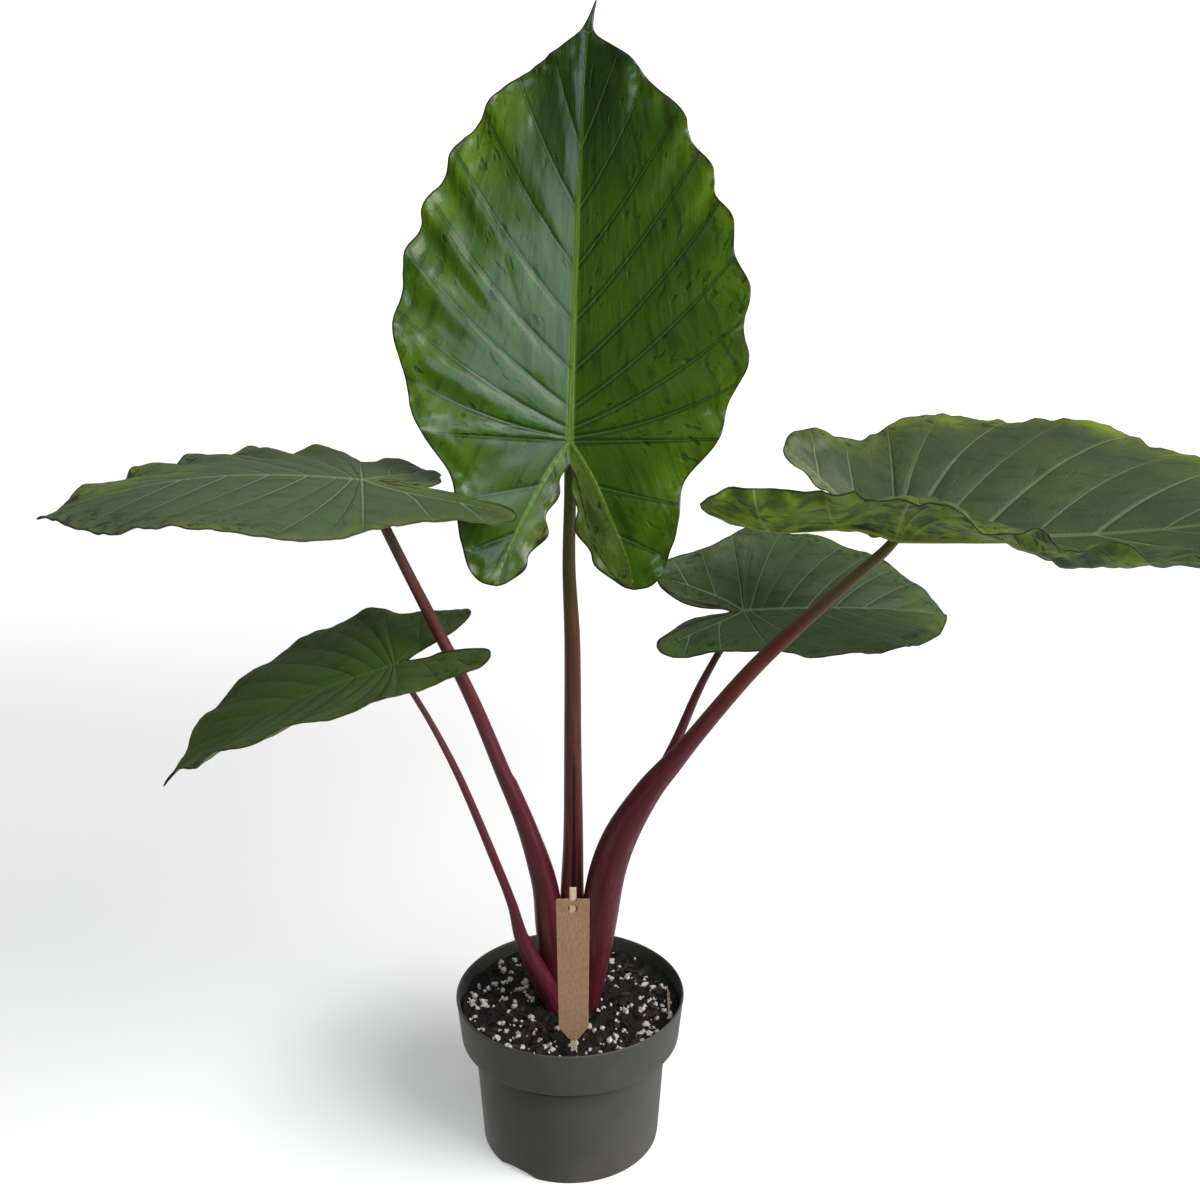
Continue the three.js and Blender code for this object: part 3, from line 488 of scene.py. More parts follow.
OUTER_MARGIN = [
    (-0.355, 0.17), (-0.345, 0.212), (-0.31, 0.244), (-0.25, 0.259), (-0.18, 0.268), (-0.1, 0.295),
    (-0.02, 0.345), (0.08, 0.396), (0.2, 0.428), (0.32, 0.43), (0.45, 0.405), (0.58, 0.358),
    (0.7, 0.3), (0.8, 0.235), (0.89, 0.15), (0.955, 0.06), (0.985, 0.022), (1.01, 0.01), (TAIL, 0),
]
INNER_MARGIN = [
    (-0.055, 0), (-0.092, 0.02), (-0.15, 0.036), (-0.208, 0.053), (-0.266, 0.077), (-0.31, 0.108),
    (-0.345, 0.142), (-0.355, 0.17),
]
LOBE_RIB = [(0, 0), (-0.08, 0.055), (-0.18, 0.105), (-0.28, 0.15), (-0.355, 0.17)]
VEINS = [
    (-1, -0.355), (-0.66, -0.28), (-0.33, -0.155), (0, 0), (0.01, 0.135), (0.03, 0.29), (0.08, 0.44),
    (0.17, 0.57), (0.29, 0.69), (0.42, 0.79), (0.56, 0.875), (0.71, 0.94), (0.985, 0.995), (TAIL, TAIL),
]

PLAIN_LEAF = dict(
    veer=0, roll=0, width=1, curl_power=1, tip_bend=(0, 0), tail=1, ripple=(0, 0), slack=(0, 0),
)
LEAVES = {
    "crown": dict(
        junction=(2.4, -4, 529.7), length=276, heading=85.5, pitch=72, droop=-5, veer=-12,
        lobe_lift=-3, lobe=(1, 1), cleft=(0, -0.028), width=0.975,
        fold=((16, 16, 14, 11), (8, 8, 7, 6)), curl=((0, 0, 0, 0), (0, 0, 0, 0)), tip_bend=(5, 0),
        wave=(2.4, 2.6), scallop=(2.2, 3.2), quilt=0.8, crinkle=2.1, faint=(), ripple=(0.012, 0.009),
        crests=((-0.2, 0.02, 0.25, 0.43, 0.55, 0.68, 0.82), (-0.2, 0.0, 0.18, 0.36, 0.53, 0.65, 0.78)),
    ),
    "left": dict(
        junction=(-130.3, -38, 510.3), length=198, heading=192, pitch=7, droop=30, roll=-10,
        lobe_lift=1, lobe=(1.38, 0.76), cleft=(-0.04, -0.05),
        fold=((0, -7, -9, -8), (-5, -3, -5, -6)), curl=((-18, 2, 10, 12), (-8, -8, -8, -10)),
        tip_bend=(0, 3), tail=0.35,
        wave=(3.4, 4), scallop=(1, 1.5), quilt=1.1, crinkle=2, faint=(4, 6, 11), slack=(0, 1.5),
        crests=((-0.2, 0.56, 1), (-0.2, 0.14, 0.36, 0.56, 0.72, 0.88)),
    ),
    "left_lower": dict(
        junction=(-116, -28, 382.2), length=166, heading=188, pitch=-16, droop=22, roll=-14,
        lobe_lift=-10, lobe=(1.08, 1.02), cleft=(-0.012, 0), width=0.97,
        fold=((-5, 3, 5, 16), (6, 21, 14, 10)), curl=((8, 20, 26, 22), (-20, -20, -20, -20)),
        tip_bend=(-4, -1), wave=(2.4, 1.6), scallop=(1.2, 1), quilt=0.9, crinkle=1, faint=(4, 5, 6, 8, 10),
        crests=((-0.25, 0.05, 0.42, 0.72), (-0.2, 0.05, 0.35, 0.65, 0.85)),
    ),
    "right": dict(
        junction=(212.7, -45, 474.4), length=292, heading=-6, pitch=0, droop=-20, veer=-12, roll=3.4,
        lobe_lift=-19, lobe=(0.81, 1.25), cleft=(0.05, 0.016), fold=((67, 39, 38.5, 8), (-13, 44, -7, -5)),
        curl=((-80, -24, -31, -20), (229, -60, 51, 0)), curl_power=1.5, wave=(2.4, 2.8), scallop=(1.2, 1.5),
        quilt=1.2, crinkle=2.8, faint=(4, 6, 8, 10), ripple=(0.006, 0.006), slack=(0.8, 4),
        crests=((-0.25, 0.08, 0.5, 0.78), (-0.25, 0.05, 0.22, 0.38, 0.55, 0.72, 0.86)),
    ),
    "right_lower": dict(
        junction=(128, 62, 394.6), length=174, heading=14, pitch=-1, droop=13, veer=8, roll=22,
        lobe_lift=5, lobe=(1.02, 1.21), cleft=(-0.02, -0.03), width=0.98, tail=0.2,
        fold=((58, 43, 26, 22), (-6, 5, 6, 8)), curl=((-18, -18, -18, -12), (10, 10, 10, 0)),
        wave=(1.2, 2.2), scallop=(0.8, 1.4), quilt=0.9, crinkle=1.1, faint=(4, 6, 11),
        crests=((-0.15, 0.2, 0.46, 0.72, 0.92), (-0.2, 0.03, 0.3, 0.56, 0.8)),
    ),
}


def hermite(start, end, leave, arrive, w):
    """The place at a share of the way from the start to the end, with the curve's direction at both."""
    cubic = (2 * start - 2 * end + leave + arrive) * w**3
    return cubic + (-3 * start + 3 * end - 2 * leave - arrive) * w**2 + leave * w + start


class ArcCurve:
    """A smooth curve through its points, read by its share of length."""

    def __init__(self, points):
        self.points = np.array(points, float)
        self.steps = np.linspace(0, 1, CURVE_SAMPLES)
        chords = np.linalg.norm(np.diff(self.at(self.steps), axis=0), axis=1)
        self.lengths = np.concatenate([[0], np.cumsum(chords)])

    def at(self, t):
        points = self.points
        last = len(points) - 1
        position = last * np.clip(t, 0, 1)
        index = np.minimum(np.floor(position).astype(int), last - 1)
        w = (position - index)[..., None]
        before, start = points[np.maximum(index - 1, 0)], points[index]
        end, after = points[index + 1], points[np.minimum(index + 2, last)]
        leave, arrive = (end - before) / 2, (after - start) / 2
        return hermite(start, end, leave, arrive, w)

    def place(self, share):
        target = np.clip(share, 0, 1) * self.lengths[-1]
        return self.at(np.interp(target, self.lengths, self.steps))


outer_curve = ArcCurve(OUTER_MARGIN)
inner_curve = ArcCurve(INNER_MARGIN)
lobe_rib_curve = ArcCurve(LOBE_RIB)


def margin_at(along):
    """The share of the margin's length at which it lies so far along the leaf."""
    low, high = 0.0, 1.0
    for _ in range(HALVINGS):
        middle = (low + high) / 2
        if outer_curve.place(np.array(middle))[0] < along:
            low = middle
        else:
            high = middle
    return (low + high) / 2


vein_roots = np.array([root for root, _ in VEINS], float)
vein_ends = np.array([0] + [margin_at(along) for _, along in VEINS[1:]])


def blend_list(values, position):
    return np.interp(position, np.arange(len(values)), values)


def knot_value(values, along):
    """A value that is given at the knots and changes smoothly between them."""
    result = np.full(np.shape(along), float(values[0]))
    for index in range(len(KNOTS) - 1):
        step = values[index + 1] - values[index]
        result = result + step * smooth(along, KNOTS[index], KNOTS[index + 1])
    return result


def lobe_stretch(leaf, side, place):
    """How much longer than usual the leaf's lobe on this side is, from the rib outwards."""
    part = np.minimum(1, np.abs(place[..., 1]) / LOBE_STRETCH_START)
    stretched = 1 + (leaf.lobe[int(side > 0)] - 1) * part
    return np.where(place[..., 0] >= 0, 1, stretched)


def margin_wave(crests, around):
    """The margin's wave, which is 1 at its crests and -1 between them."""
    places = np.array([margin_at(crest) for crest in crests])
    gap = places[1] - places[0]
    index = np.searchsorted(places, around, side="right")
    before = np.where(index == 0, places[0] - gap, places[np.maximum(index - 1, 0)])
    after = np.where(index == len(places), before + gap, places[np.minimum(index, len(places) - 1)])
    fade = np.clip(np.minimum(around * WAVE_FADE, (1 - around) * WAVE_FADE), 0, 1)
    return fade * np.cos(2 * np.pi * (around - before) / (after - before))


def midrib_frame(leaf, along):
    """The midrib's place, and the directions up from the blade and across it."""
    ahead = along >= 0
    step = np.abs(along) / MIDRIB_STEPS

    def direction(distance):
        part = distance / leaf.length
        pitch = np.where(
            ahead, leaf.pitch - leaf.droop * part**DROOP_POWER,
            leaf.pitch + leaf.lobe_lift * part / LOBE_REACH,
        )
        heading = leaf.heading + np.where(ahead, leaf.veer * part**DROOP_POWER, 0)
        pitch, heading = np.radians(pitch), np.radians(heading)
        flat = np.cos(pitch)
        forward = np.stack([flat * np.cos(heading), flat * np.sin(heading), np.sin(pitch)], -1)
        up = np.stack([-np.sin(pitch) * np.cos(heading), -np.sin(pitch) * np.sin(heading), flat], -1)
        return forward, up

    point = np.zeros((*np.shape(along), 3)) + leaf.junction
    signed = np.where(ahead, step, -step)[..., None]
    for index in range(MIDRIB_STEPS):
        point = point + direction((index + 0.5) * step)[0] * signed
    forward, up = direction(np.abs(along))
    across = np.cross(forward, up)
    roll = math.radians(leaf.roll)
    rolled_up = up * math.cos(roll) + across * math.sin(roll)
    rolled_across = across * math.cos(roll) - up * math.sin(roll)
    return point, rolled_up, rolled_across


def blade_point(leaf, side, along, across):
    """A place on the middle of the blade, with its fold, its curl and its bent tip."""
    tail_start = TAIL_START * leaf.length
    along = np.where(along > tail_start, tail_start + (along - tail_start) * leaf.tail, along)
    point, up, sideways = midrib_frame(leaf, along)
    half = int(side > 0)
    width = np.abs(across)
    fold = knot_value(leaf.fold[half], along / leaf.length)
    curl = knot_value(leaf.curl[half], along / leaf.length)
    step = width / ARC_STEPS
    out = np.zeros_like(width)
    lift = np.zeros_like(width)
    for index in range(ARC_STEPS):
        part = (index + 0.5) * step / (HALF_WIDTH * leaf.length)
        angle = np.radians(fold + curl * part ** leaf.curl_power)
        out += np.cos(angle) * step
        lift += np.sin(angle) * step
    past = np.maximum(0, along / leaf.length - TIP_START) / (TAIL - TIP_START)
    out = side * out + leaf.tip_bend[0] * past**2
    lift += leaf.tip_bend[1] * past**2
    return point + sideways * out[..., None] + up * lift[..., None]


def vein_ray(vein):
    """Root and end of the ray of a vein position, as fractions of the leaf's length."""
    origin = blend_list(vein_roots, vein)
    on_axis = np.stack([origin, np.zeros_like(origin)], -1)
    root = np.where((origin < 0)[..., None], lobe_rib_curve.place(-origin), on_axis)
    around = blend_list(vein_ends, vein)
    return root, outer_curve.place(around), around


def ray_place(vein, part):
    """The place at a share of the way along a vein's bowed ray, its end on the margin, and its span."""
    root, end, around = vein_ray(vein)
    span = np.linalg.norm(end - root, axis=-1)
    place = root + (end - root) * part[..., None]
    place[..., 0] -= VEIN_BOW * np.clip(vein - JUNCTION_VEIN, 0, 1) * span * hump(part)
    return place, around, span


def line_distance(places, line):
    """Distance of each place from a line of many points, and the nearest of them."""
    best = np.full(places.shape[:-1], 1e9)
    nearest = np.zeros(places.shape[:-1], int)
    for index, point in enumerate(line):
        distance = np.linalg.norm(places - point, axis=-1)
        closer = distance < best
        best = np.where(closer, distance, best)
        nearest = np.where(closer, index, nearest)
    return best, nearest


RIB_LINE = lobe_rib_curve.place(np.linspace(0, 1, 60))
OUTER_LINE = outer_curve.place(np.linspace(0, 1, 260))
INNER_LINE = inner_curve.place(np.linspace(0, 1, 90))


def rib_values(place, length):
    """Distance from the nearest rib in millimetres, and how much of its size the rib still has there."""
    x, y = place[..., 0], np.abs(place[..., 1])
    ahead = np.where(x >= 0, y, np.hypot(x, y))
    lobe, nearest = line_distance(np.stack([x, y], -1), RIB_LINE)
    lobe_fade = np.clip(1 + RIB_LINE[nearest][..., 0] / -KNOTS[0], 0, 1)
    ahead_fade = np.clip(1 - x / TAIL, 0, 1)
    on_lobe = lobe < ahead
    distance = np.where(on_lobe, lobe, ahead) * length
    return distance, np.where(on_lobe, lobe_fade, np.where(x >= 0, ahead_fade, 1)), on_lobe


def ray_distance(vein, part, line, length):
    """Distance in millimetres from the ray of another vein position, measured square to it."""
    here = ray_place(vein, part)[0]
    there = ray_place(line, part)[0]
    before, after = np.maximum(part - RAY_STEP, 0), np.minimum(part + RAY_STEP, 1)
    ahead = ray_place(line, after)[0] - ray_place(line, before)[0]
    ahead /= np.maximum(np.linalg.norm(ahead, axis=-1, keepdims=True), 1e-9)
    apart = here - there
    return np.abs(apart[..., 0] * ahead[..., 1] - apart[..., 1] * ahead[..., 0]) * length


def noise_at(places, size, shift=(0, 0, 0)):
    return np.array([noise.noise(Vector(place) / size + Vector(shift)) for place in places])


def vertex_normals(places, corners):
    a, b, c = (places[corners[:, i]] for i in range(3))
    faces = np.cross(b - a, c - a)
    normals = np.zeros_like(places)
    for i in range(3):
        np.add.at(normals, corners[:, i], faces)
    return unit(normals)


def blade_rim(corners, middle, normals, upper, lower):
    """The points of the rounded rim that joins the two faces, and its triangles."""
    count = len(middle)
    starts = corners.T.reshape(-1)
    stops = np.roll(corners, -1, axis=1).T.reshape(-1)
    twins = np.isin(starts * count + stops, stops * count + starts)
    starts, stops = starts[~twins], stops[~twins]
    outward = np.zeros_like(middle)
    sideways = np.cross(middle[stops] - middle[starts], normals[starts])
    np.add.at(outward, starts, sideways)
    np.add.at(outward, stops, sideways)
    ring = np.unique(np.concatenate([starts, stops]))
    points = (upper[ring] + lower[ring]) / 2 + unit(outward[ring]) * EDGE_ROUND
    ring_index = np.zeros(count, int)
    ring_index[ring] = 2 * count + np.arange(len(ring))
    from_rim, to_rim = ring_index[starts], ring_index[stops]
    below, below_next = starts + count, stops + count
    triangles = [
        (stops, starts, from_rim), (stops, from_rim, to_rim), (to_rim, from_rim, below),
        (to_rim, below, below_next),
    ]
    return points, np.concatenate([np.stack(triangle, -1) for triangle in triangles])


class LeafMesh:
    """Collects the patches of a leaf and turns them into one closed mesh."""

    LINES = ("edge", "vein", "minor", "rib")
    VECTORS = ("flat", "lanes", "folds")
    SHAPES = ("top", "bottom", "calm", "slack")

    def __init__(self, leaf):
        self.leaf = leaf
        self.size = leaf.length / REFERENCE_LENGTH
        self.points = []
        self.values = {name: [] for name in (*self.LINES, *self.VECTORS, *self.SHAPES)}
        self.triangles = []
        self.count = 0

    def surface(self, side, along, across, lift):
        leaf = self.leaf
        base = blade_point(leaf, side, along, across)
        ahead = blade_point(leaf, side, along + SLOPE_STEP, across) - base
        beside = blade_point(leaf, side, along, across + side * SLOPE_STEP) - base
        return base + unit(np.cross(beside, ahead) * side) * lift[..., None]

    def add_patch(self, points, values, flipped):
        rows, columns = points.shape[:2]
        index = self.count + np.arange(rows * columns).reshape(rows, columns)
        a, b = index[:-1, :-1].ravel(), index[1:, :-1].ravel()
        c, d = index[1:, 1:].ravel(), index[:-1, 1:].ravel()
        triangles = np.concatenate([np.stack([a, b, c], -1), np.stack([a, c, d], -1)])
        self.triangles.append(triangles[:, ::-1] if flipped else triangles)
        self.points.append(points.reshape(-1, 3))
        for name, value in values.items():
            whole = np.broadcast_to(value, points.shape[:2] + value.shape[2:])
            self.values[name].append(whole.reshape((-1, 3) if name in self.VECTORS else -1))
        self.count += rows * columns

    def relief(self, place, vein_distance, part):
        """How far the faces stand out at the ribs and veins, and how calm the blade is near a rib."""
        distance, fade, on_lobe = rib_values(place, self.leaf.length)
        width = RIDGE_HALF_WIDTH * self.size * (0.35 + 0.65 * fade) * np.where(on_lobe, LOBE_RIDGE, 1)
        ridge = RIDGE_HEIGHT * self.size * (0.3 + 0.7 * fade)
        ridge = ridge * np.clip(1 - (distance / width) ** 2, 0, 1) ** 2
        groove = GROOVE_DEPTH * self.size * (1 - 0.7 * part)
        groove = groove * np.exp(-((vein_distance / GROOVE_HALF_WIDTH) ** 2))
        away = smooth(distance, 0.8 * width, 2.5 * width)
        rib_width = RIB_HALF_WIDTH * self.size * np.maximum(fade, 0.02) ** 0.5
        rib = RIB_DEPTH * self.size * fade**RIB_TAPER
        rib = rib * np.sqrt(np.clip(1 - (distance / rib_width) ** 2, 0, 1))
        vein = VEIN_DEPTH * self.size * (1 - part) * np.exp(-((vein_distance / VEIN_HALF_WIDTH) ** 2))
        return {
            "top": ridge - groove * away,
            "bottom": np.maximum(rib, vein),
            "rib": distance / width,
            "calm": np.clip(distance / CALM_REACH, 0, 1) * (0.35 + 0.65 * part),
        }

    def margin_distance(self, place, line, part, span):
        near = line_distance(place, line)[0] * self.leaf.length * (part < 1)
        return np.minimum(near, (1 - part) * span + 0.01)

    def noise_places(self, side, flat, lanes, folds):
        """Places for the noises, on the flat leaf, along its veins and along its folds."""
        places = {}
        for key, (u, v) in (("flat", flat), ("lanes", lanes), ("folds", folds)):
            places[key] = np.stack([u, v, np.full_like(u, HALF_SHIFTS[key] * side)], -1)
        return places

    def half_grid(self):
        """Vein positions and shares of the way to the margin, closer together beside the rib."""
        vein = np.arange((len(VEINS) - 1) * ROWS_PER_VEIN + 1) / ROWS_PER_VEIN
        span = np.maximum(ray_place(vein, np.zeros_like(vein))[2] * self.leaf.length, 1e-6)
        near = [np.minimum(share, step * self.size / span) for step, share in NEAR_RIB]
        spread = [near[-1] + (1 - near[-1]) * i / COLUMNS for i in range(1, COLUMNS)]
        step, share = NEAR_MARGIN
        last = np.maximum(1 - np.minimum(share, step / span), spread[-1])
        part = np.stack([np.zeros_like(vein), *near, *spread, last, np.ones_like(vein)], 1)
        return np.repeat(vein[:, None], part.shape[1], 1), part

    def vein_values(self, vein, part):
        """Distances from the nearest vein and from the minor vein between two, and in their widths."""
        length, last = self.leaf.length, len(VEINS) - 1
        nearest = np.round(vein)
        distance = ray_distance(vein, part, nearest, length)
        distance = np.where((nearest > 0) & (nearest < last), distance, FAR)
        between = ray_distance(vein, part, np.floor(np.minimum(vein, last - 1e-6)) + 0.5, length)
        faint = np.isin(nearest, self.leaf.faint)
        width = self.size * blend_list(VEIN_WIDTHS, part) * np.where(faint, FAINT_VEIN, 1)
        minor_width = self.size * blend_list(MINOR_WIDTHS, part) * smooth(part, *MINOR_START)
        return distance, {"vein": distance / width, "minor": between / np.maximum(minor_width, 0.02)}

    def add_half(self, side):
        leaf, half = self.leaf, int(side > 0)
        vein, part = self.half_grid()
        place, around, span = ray_place(vein, part)
        span = span * leaf.length
        crest = margin_wave(leaf.crests[half], around)
        scallop = leaf.scallop[half] * crest * part**SCALLOP_POWER
        quilt = leaf.quilt * np.sin(np.pi * (vein % 1)) * hump(part)
        along = place[..., 0] * leaf.length * lobe_stretch(leaf, side, place)
        across = side * (place[..., 1] * leaf.length * leaf.width + scallop)
        lift = leaf.wave[half] * crest * part**WAVE_POWER + quilt
        vein_distance, lines = self.vein_values(vein, part)
        values = {
            **self.relief(place, vein_distance, part), **lines,
            "edge": self.margin_distance(place, OUTER_LINE, part, span),
            "slack": leaf.slack[half] * smooth(part, *SLACK_REACH),
            **self.noise_places(
                side, (along, across), (vein * LANES_PER_VEIN, part * span * LANE_STEP),
                (vein * FOLDS_PER_VEIN, part * span / FOLD_LENGTH),
            ),
        }
        self.add_patch(self.surface(side, along, across, lift), values, side > 0)

    def add_cleft(self, side):
        """The strip between a lobe's rib and the cleft."""
        leaf, half = self.leaf, int(side > 0)
        rib_part = -blend_list(vein_roots, np.arange(JUNCTION_VEIN * ROWS_PER_VEIN + 1) / ROWS_PER_VEIN)
        part = np.repeat(np.linspace(0, 1, CLEFT_COLUMNS)[None, :], len(rib_part), 0)
        rib_part = np.repeat(rib_part[:, None], CLEFT_COLUMNS, 1)
        root, end = lobe_rib_curve.place(rib_part), inner_curve.place(rib_part)
        end[..., 1] += leaf.cleft[half] * np.sin(np.pi * rib_part)
        end[..., 1] += leaf.ripple[half] * np.sin(RIPPLE_TURNS * 2 * np.pi * rib_part + half) * hump(rib_part)
        span = np.linalg.norm(end - root, axis=-1) * leaf.length
        place = root + (end - root) * part[..., None]
        along = place[..., 0] * leaf.length * lobe_stretch(leaf, side, place)
        across = side * place[..., 1] * leaf.length * leaf.width
        far, none = np.full_like(along, FAR), np.zeros_like(along)
        values = {
            **self.relief(place, far, part), "vein": far, "slack": none,
            "minor": np.full_like(along, CLEFT_MARK),
            "edge": self.margin_distance(place, INNER_LINE, part, span),
            **self.noise_places(
                side, (along, across), (rib_part * CLEFT_LANES, part * span * LANE_STEP),
                (rib_part * CLEFT_FOLDS, part * span / CLEFT_FOLD_LENGTH),
            ),
        }
        self.add_patch(self.surface(side, along, across, none), values, side < 0)

    def merge(self):
        """Joins the patches where they meet, and leaves out triangles that have closed up."""
        self.values = {key: np.concatenate(parts) for key, parts in self.values.items()}
        points, triangles = np.concatenate(self.points), np.concatenate(self.triangles)
        _, self.first, shared = np.unique(
            np.round(points, 3), axis=0, return_index=True, return_inverse=True,
        )
        self.shared = shared.reshape(-1)
        corners = self.shared[triangles]
        a, b, c = corners.T
        whole = (a != b) & (b != c) & (a != c)
        return points[self.first], corners[whole], triangles[whole]

    def at_vertices(self, key):
        """The largest value of the points that share a vertex."""
        result = np.full(len(self.first), -1e9)
        np.maximum.at(result, self.shared, self.values[key])
        return result

    def puckers(self, middle):
        """How far the blade stands off its smooth form: puckers, a crinkled margin and slack places."""
        folds = self.values["folds"][self.first]
        broad, long = noise_at(middle, PUCKER_LENGTH), noise_at(folds, 1)
        short = noise_at(folds * SHORT_FOLDS, 1, SHORT_SHIFT)
        pucker = PUCKER_SIZE * self.size * np.dot(PUCKER_MIX, [broad, long, short])
        near_margin = np.exp(-((self.values["edge"][self.first] / CRINKLE_REACH) ** 2))
        crinkle = self.leaf.crinkle * noise_at(middle, CRINKLE_LENGTH, CRINKLE_SHIFT) * near_margin
        slack = self.at_vertices("slack") * noise_at(middle, SLACK_LENGTH, SLACK_SHIFT)
        return (pucker + crinkle) * self.at_vertices("calm") + slack

    def build(self, name, materials):
        middle, corners, triangles = self.merge()
        middle = middle + vertex_normals(middle, corners) * self.puckers(middle)[:, None]
        normals = vertex_normals(middle, corners)
        upper = middle + normals * (BLADE_THICKNESS / 2 + self.at_vertices("top"))[:, None]
        lower = middle - normals * (BLADE_THICKNESS / 2 + self.at_vertices("bottom"))[:, None]
        rim_points, rim_faces = blade_rim(corners, middle, normals, upper, lower)
        faces = np.concatenate([corners, corners[:, ::-1] + len(middle), rim_faces])
        mesh = new_mesh(name, np.concatenate([upper, lower, rim_points]), faces.tolist(), *materials)
        slots = np.repeat([0, 1, 2], [len(corners), len(corners), len(rim_faces)])
        mesh.polygons.foreach_set("material_index", slots)
        sources = np.concatenate([triangles, triangles[:, ::-1]]).ravel()
        for key in (*self.LINES, *self.VECTORS):
            value = self.values[key][sources]
            blank = np.zeros((3 * len(rim_faces), *value.shape[1:]))
            add_attribute(mesh, key, "CORNER", np.concatenate([value, blank]))
        return mesh


# The shares cross, dash, beside and the one for creases lay painted shade in the colour shade.
CROWN_LOOKS = dict(
    deep=(53, 88, 9), bright=(86, 120, 4), shade=(18, 44, 4), pale=(92, 120, 38), rib=(98, 126, 34),
    rim=(48, 32, 22), under=(112, 132, 62), under_dark=(84, 110, 48), under_crease=(60, 84, 34),
    under_edge=(96, 120, 52), under_pale=(150, 160, 96), cleft_tone=(92, 108, 50), cleft_share=0.6,
    tip_tone=(84, 104, 30), tip_reach=(240, 280), tip_share=0, tip_side=0, margin_reach=40, blotch=0.2,
    cross=0.5, net=0.05, beside=0.75, minor=0.06, vein=0.52, vein_edge=1.5, ribs=0.88, rib_edge=1.25,
    rib_reach=(110, 240), rib_end=0.3, dash=0.5, crease=0.4, crease_from=0.56, crease_reach=(-200, -190),
    dark=0.8, dark_from=135, dark_width=52, groove=0.1, pucker=0.6,
    gloss=0.34, specular=0.12, coat=0.75, coat_roughness=0.2,
)
SIDE_LOOKS = dict(
    deep=(66, 84, 46), bright=(96, 116, 20), shade=(34, 50, 18), pale=(114, 132, 84), rib=(112, 130, 80),
    rim=(46, 34, 26), under=(126, 156, 28), under_dark=(62, 90, 22), under_crease=(30, 44, 12),
    under_edge=(62, 76, 22), under_pale=(150, 162, 64), cleft_tone=(84, 100, 50), cleft_share=0.4,
    tip_tone=(122, 134, 30), tip_reach=(110, 190), tip_share=0.7, tip_side=0, margin_reach=18, blotch=0.12,
    cross=0.45, net=0.05, beside=0.42, minor=0.04, vein=0.62, vein_edge=2.1, ribs=0.7, rib_edge=0.95,
    rib_reach=(60, 160), rib_end=0.6, dash=0.15, crease=0.85, crease_from=0.56, crease_reach=(-200, -190),
    dark=0, dark_from=60, dark_width=30, groove=0.24, pucker=0.45,
    gloss=0.44, specular=0.28, coat=0.14, coat_roughness=0.26,
)
CALM_UNDER = dict(under=(104, 128, 48), under_dark=(80, 106, 38), under_crease=(52, 70, 26))
LEAF_LOOKS = {
    "crown": CROWN_LOOKS,
    "left": dict(
        SIDE_LOOKS, deep=(73, 93, 56), bright=(92, 112, 40), pale=(130, 148, 112), rib=(122, 140, 102),
        tip_tone=(104, 132, 38), tip_reach=(80, 150), tip_share=0.85, tip_side=1, margin_reach=14,
        crease_from=0.5, crease_reach=(20, 90), cross=0.3, cleft_share=0.15, **CALM_UNDER,
    ),
    "left_lower": dict(
        SIDE_LOOKS, deep=(70, 96, 38), bright=(80, 102, 28), shade=(42, 64, 26), pale=(90, 114, 60),
        rib=(90, 114, 60), tip_tone=(92, 112, 40), margin_reach=8, vein=0.45, ribs=0.45, specular=0.15,
        blotch=0.2, beside=0.25, **CALM_UNDER,
    ),
    "right": dict(
        SIDE_LOOKS, deep=(51, 68, 35), bright=(112, 132, 18), under_edge=(88, 122, 22),
        tip_reach=(170, 280), margin_reach=26,
    ),
    "right_lower": dict(
        SIDE_LOOKS, deep=(71, 98, 46), bright=(82, 108, 44), shade=(34, 56, 26), pale=(142, 168, 122),
        rib=(136, 162, 114), **CALM_UNDER,
    ),
}


def add_leaf(name):
    looks = SimpleNamespace(**LEAF_LOOKS[name])
    builder = LeafMesh(SimpleNamespace(**dict(PLAIN_LEAF, **LEAVES[name])))
    for side in (-1, 1):
        builder.add_half(side)
        builder.add_cleft(side)
    materials = [
        leaf_top(f"{name}_top", looks), leaf_under(f"{name}_under", looks), leaf_rim(f"{name}_rim", looks),
    ]
    mesh = builder.build(f"blade_{name}", materials)
    add_piece(f"blade_{name}", mesh, f"leaf_{name}")


for leaf_name in LEAVES:
    add_leaf(leaf_name)

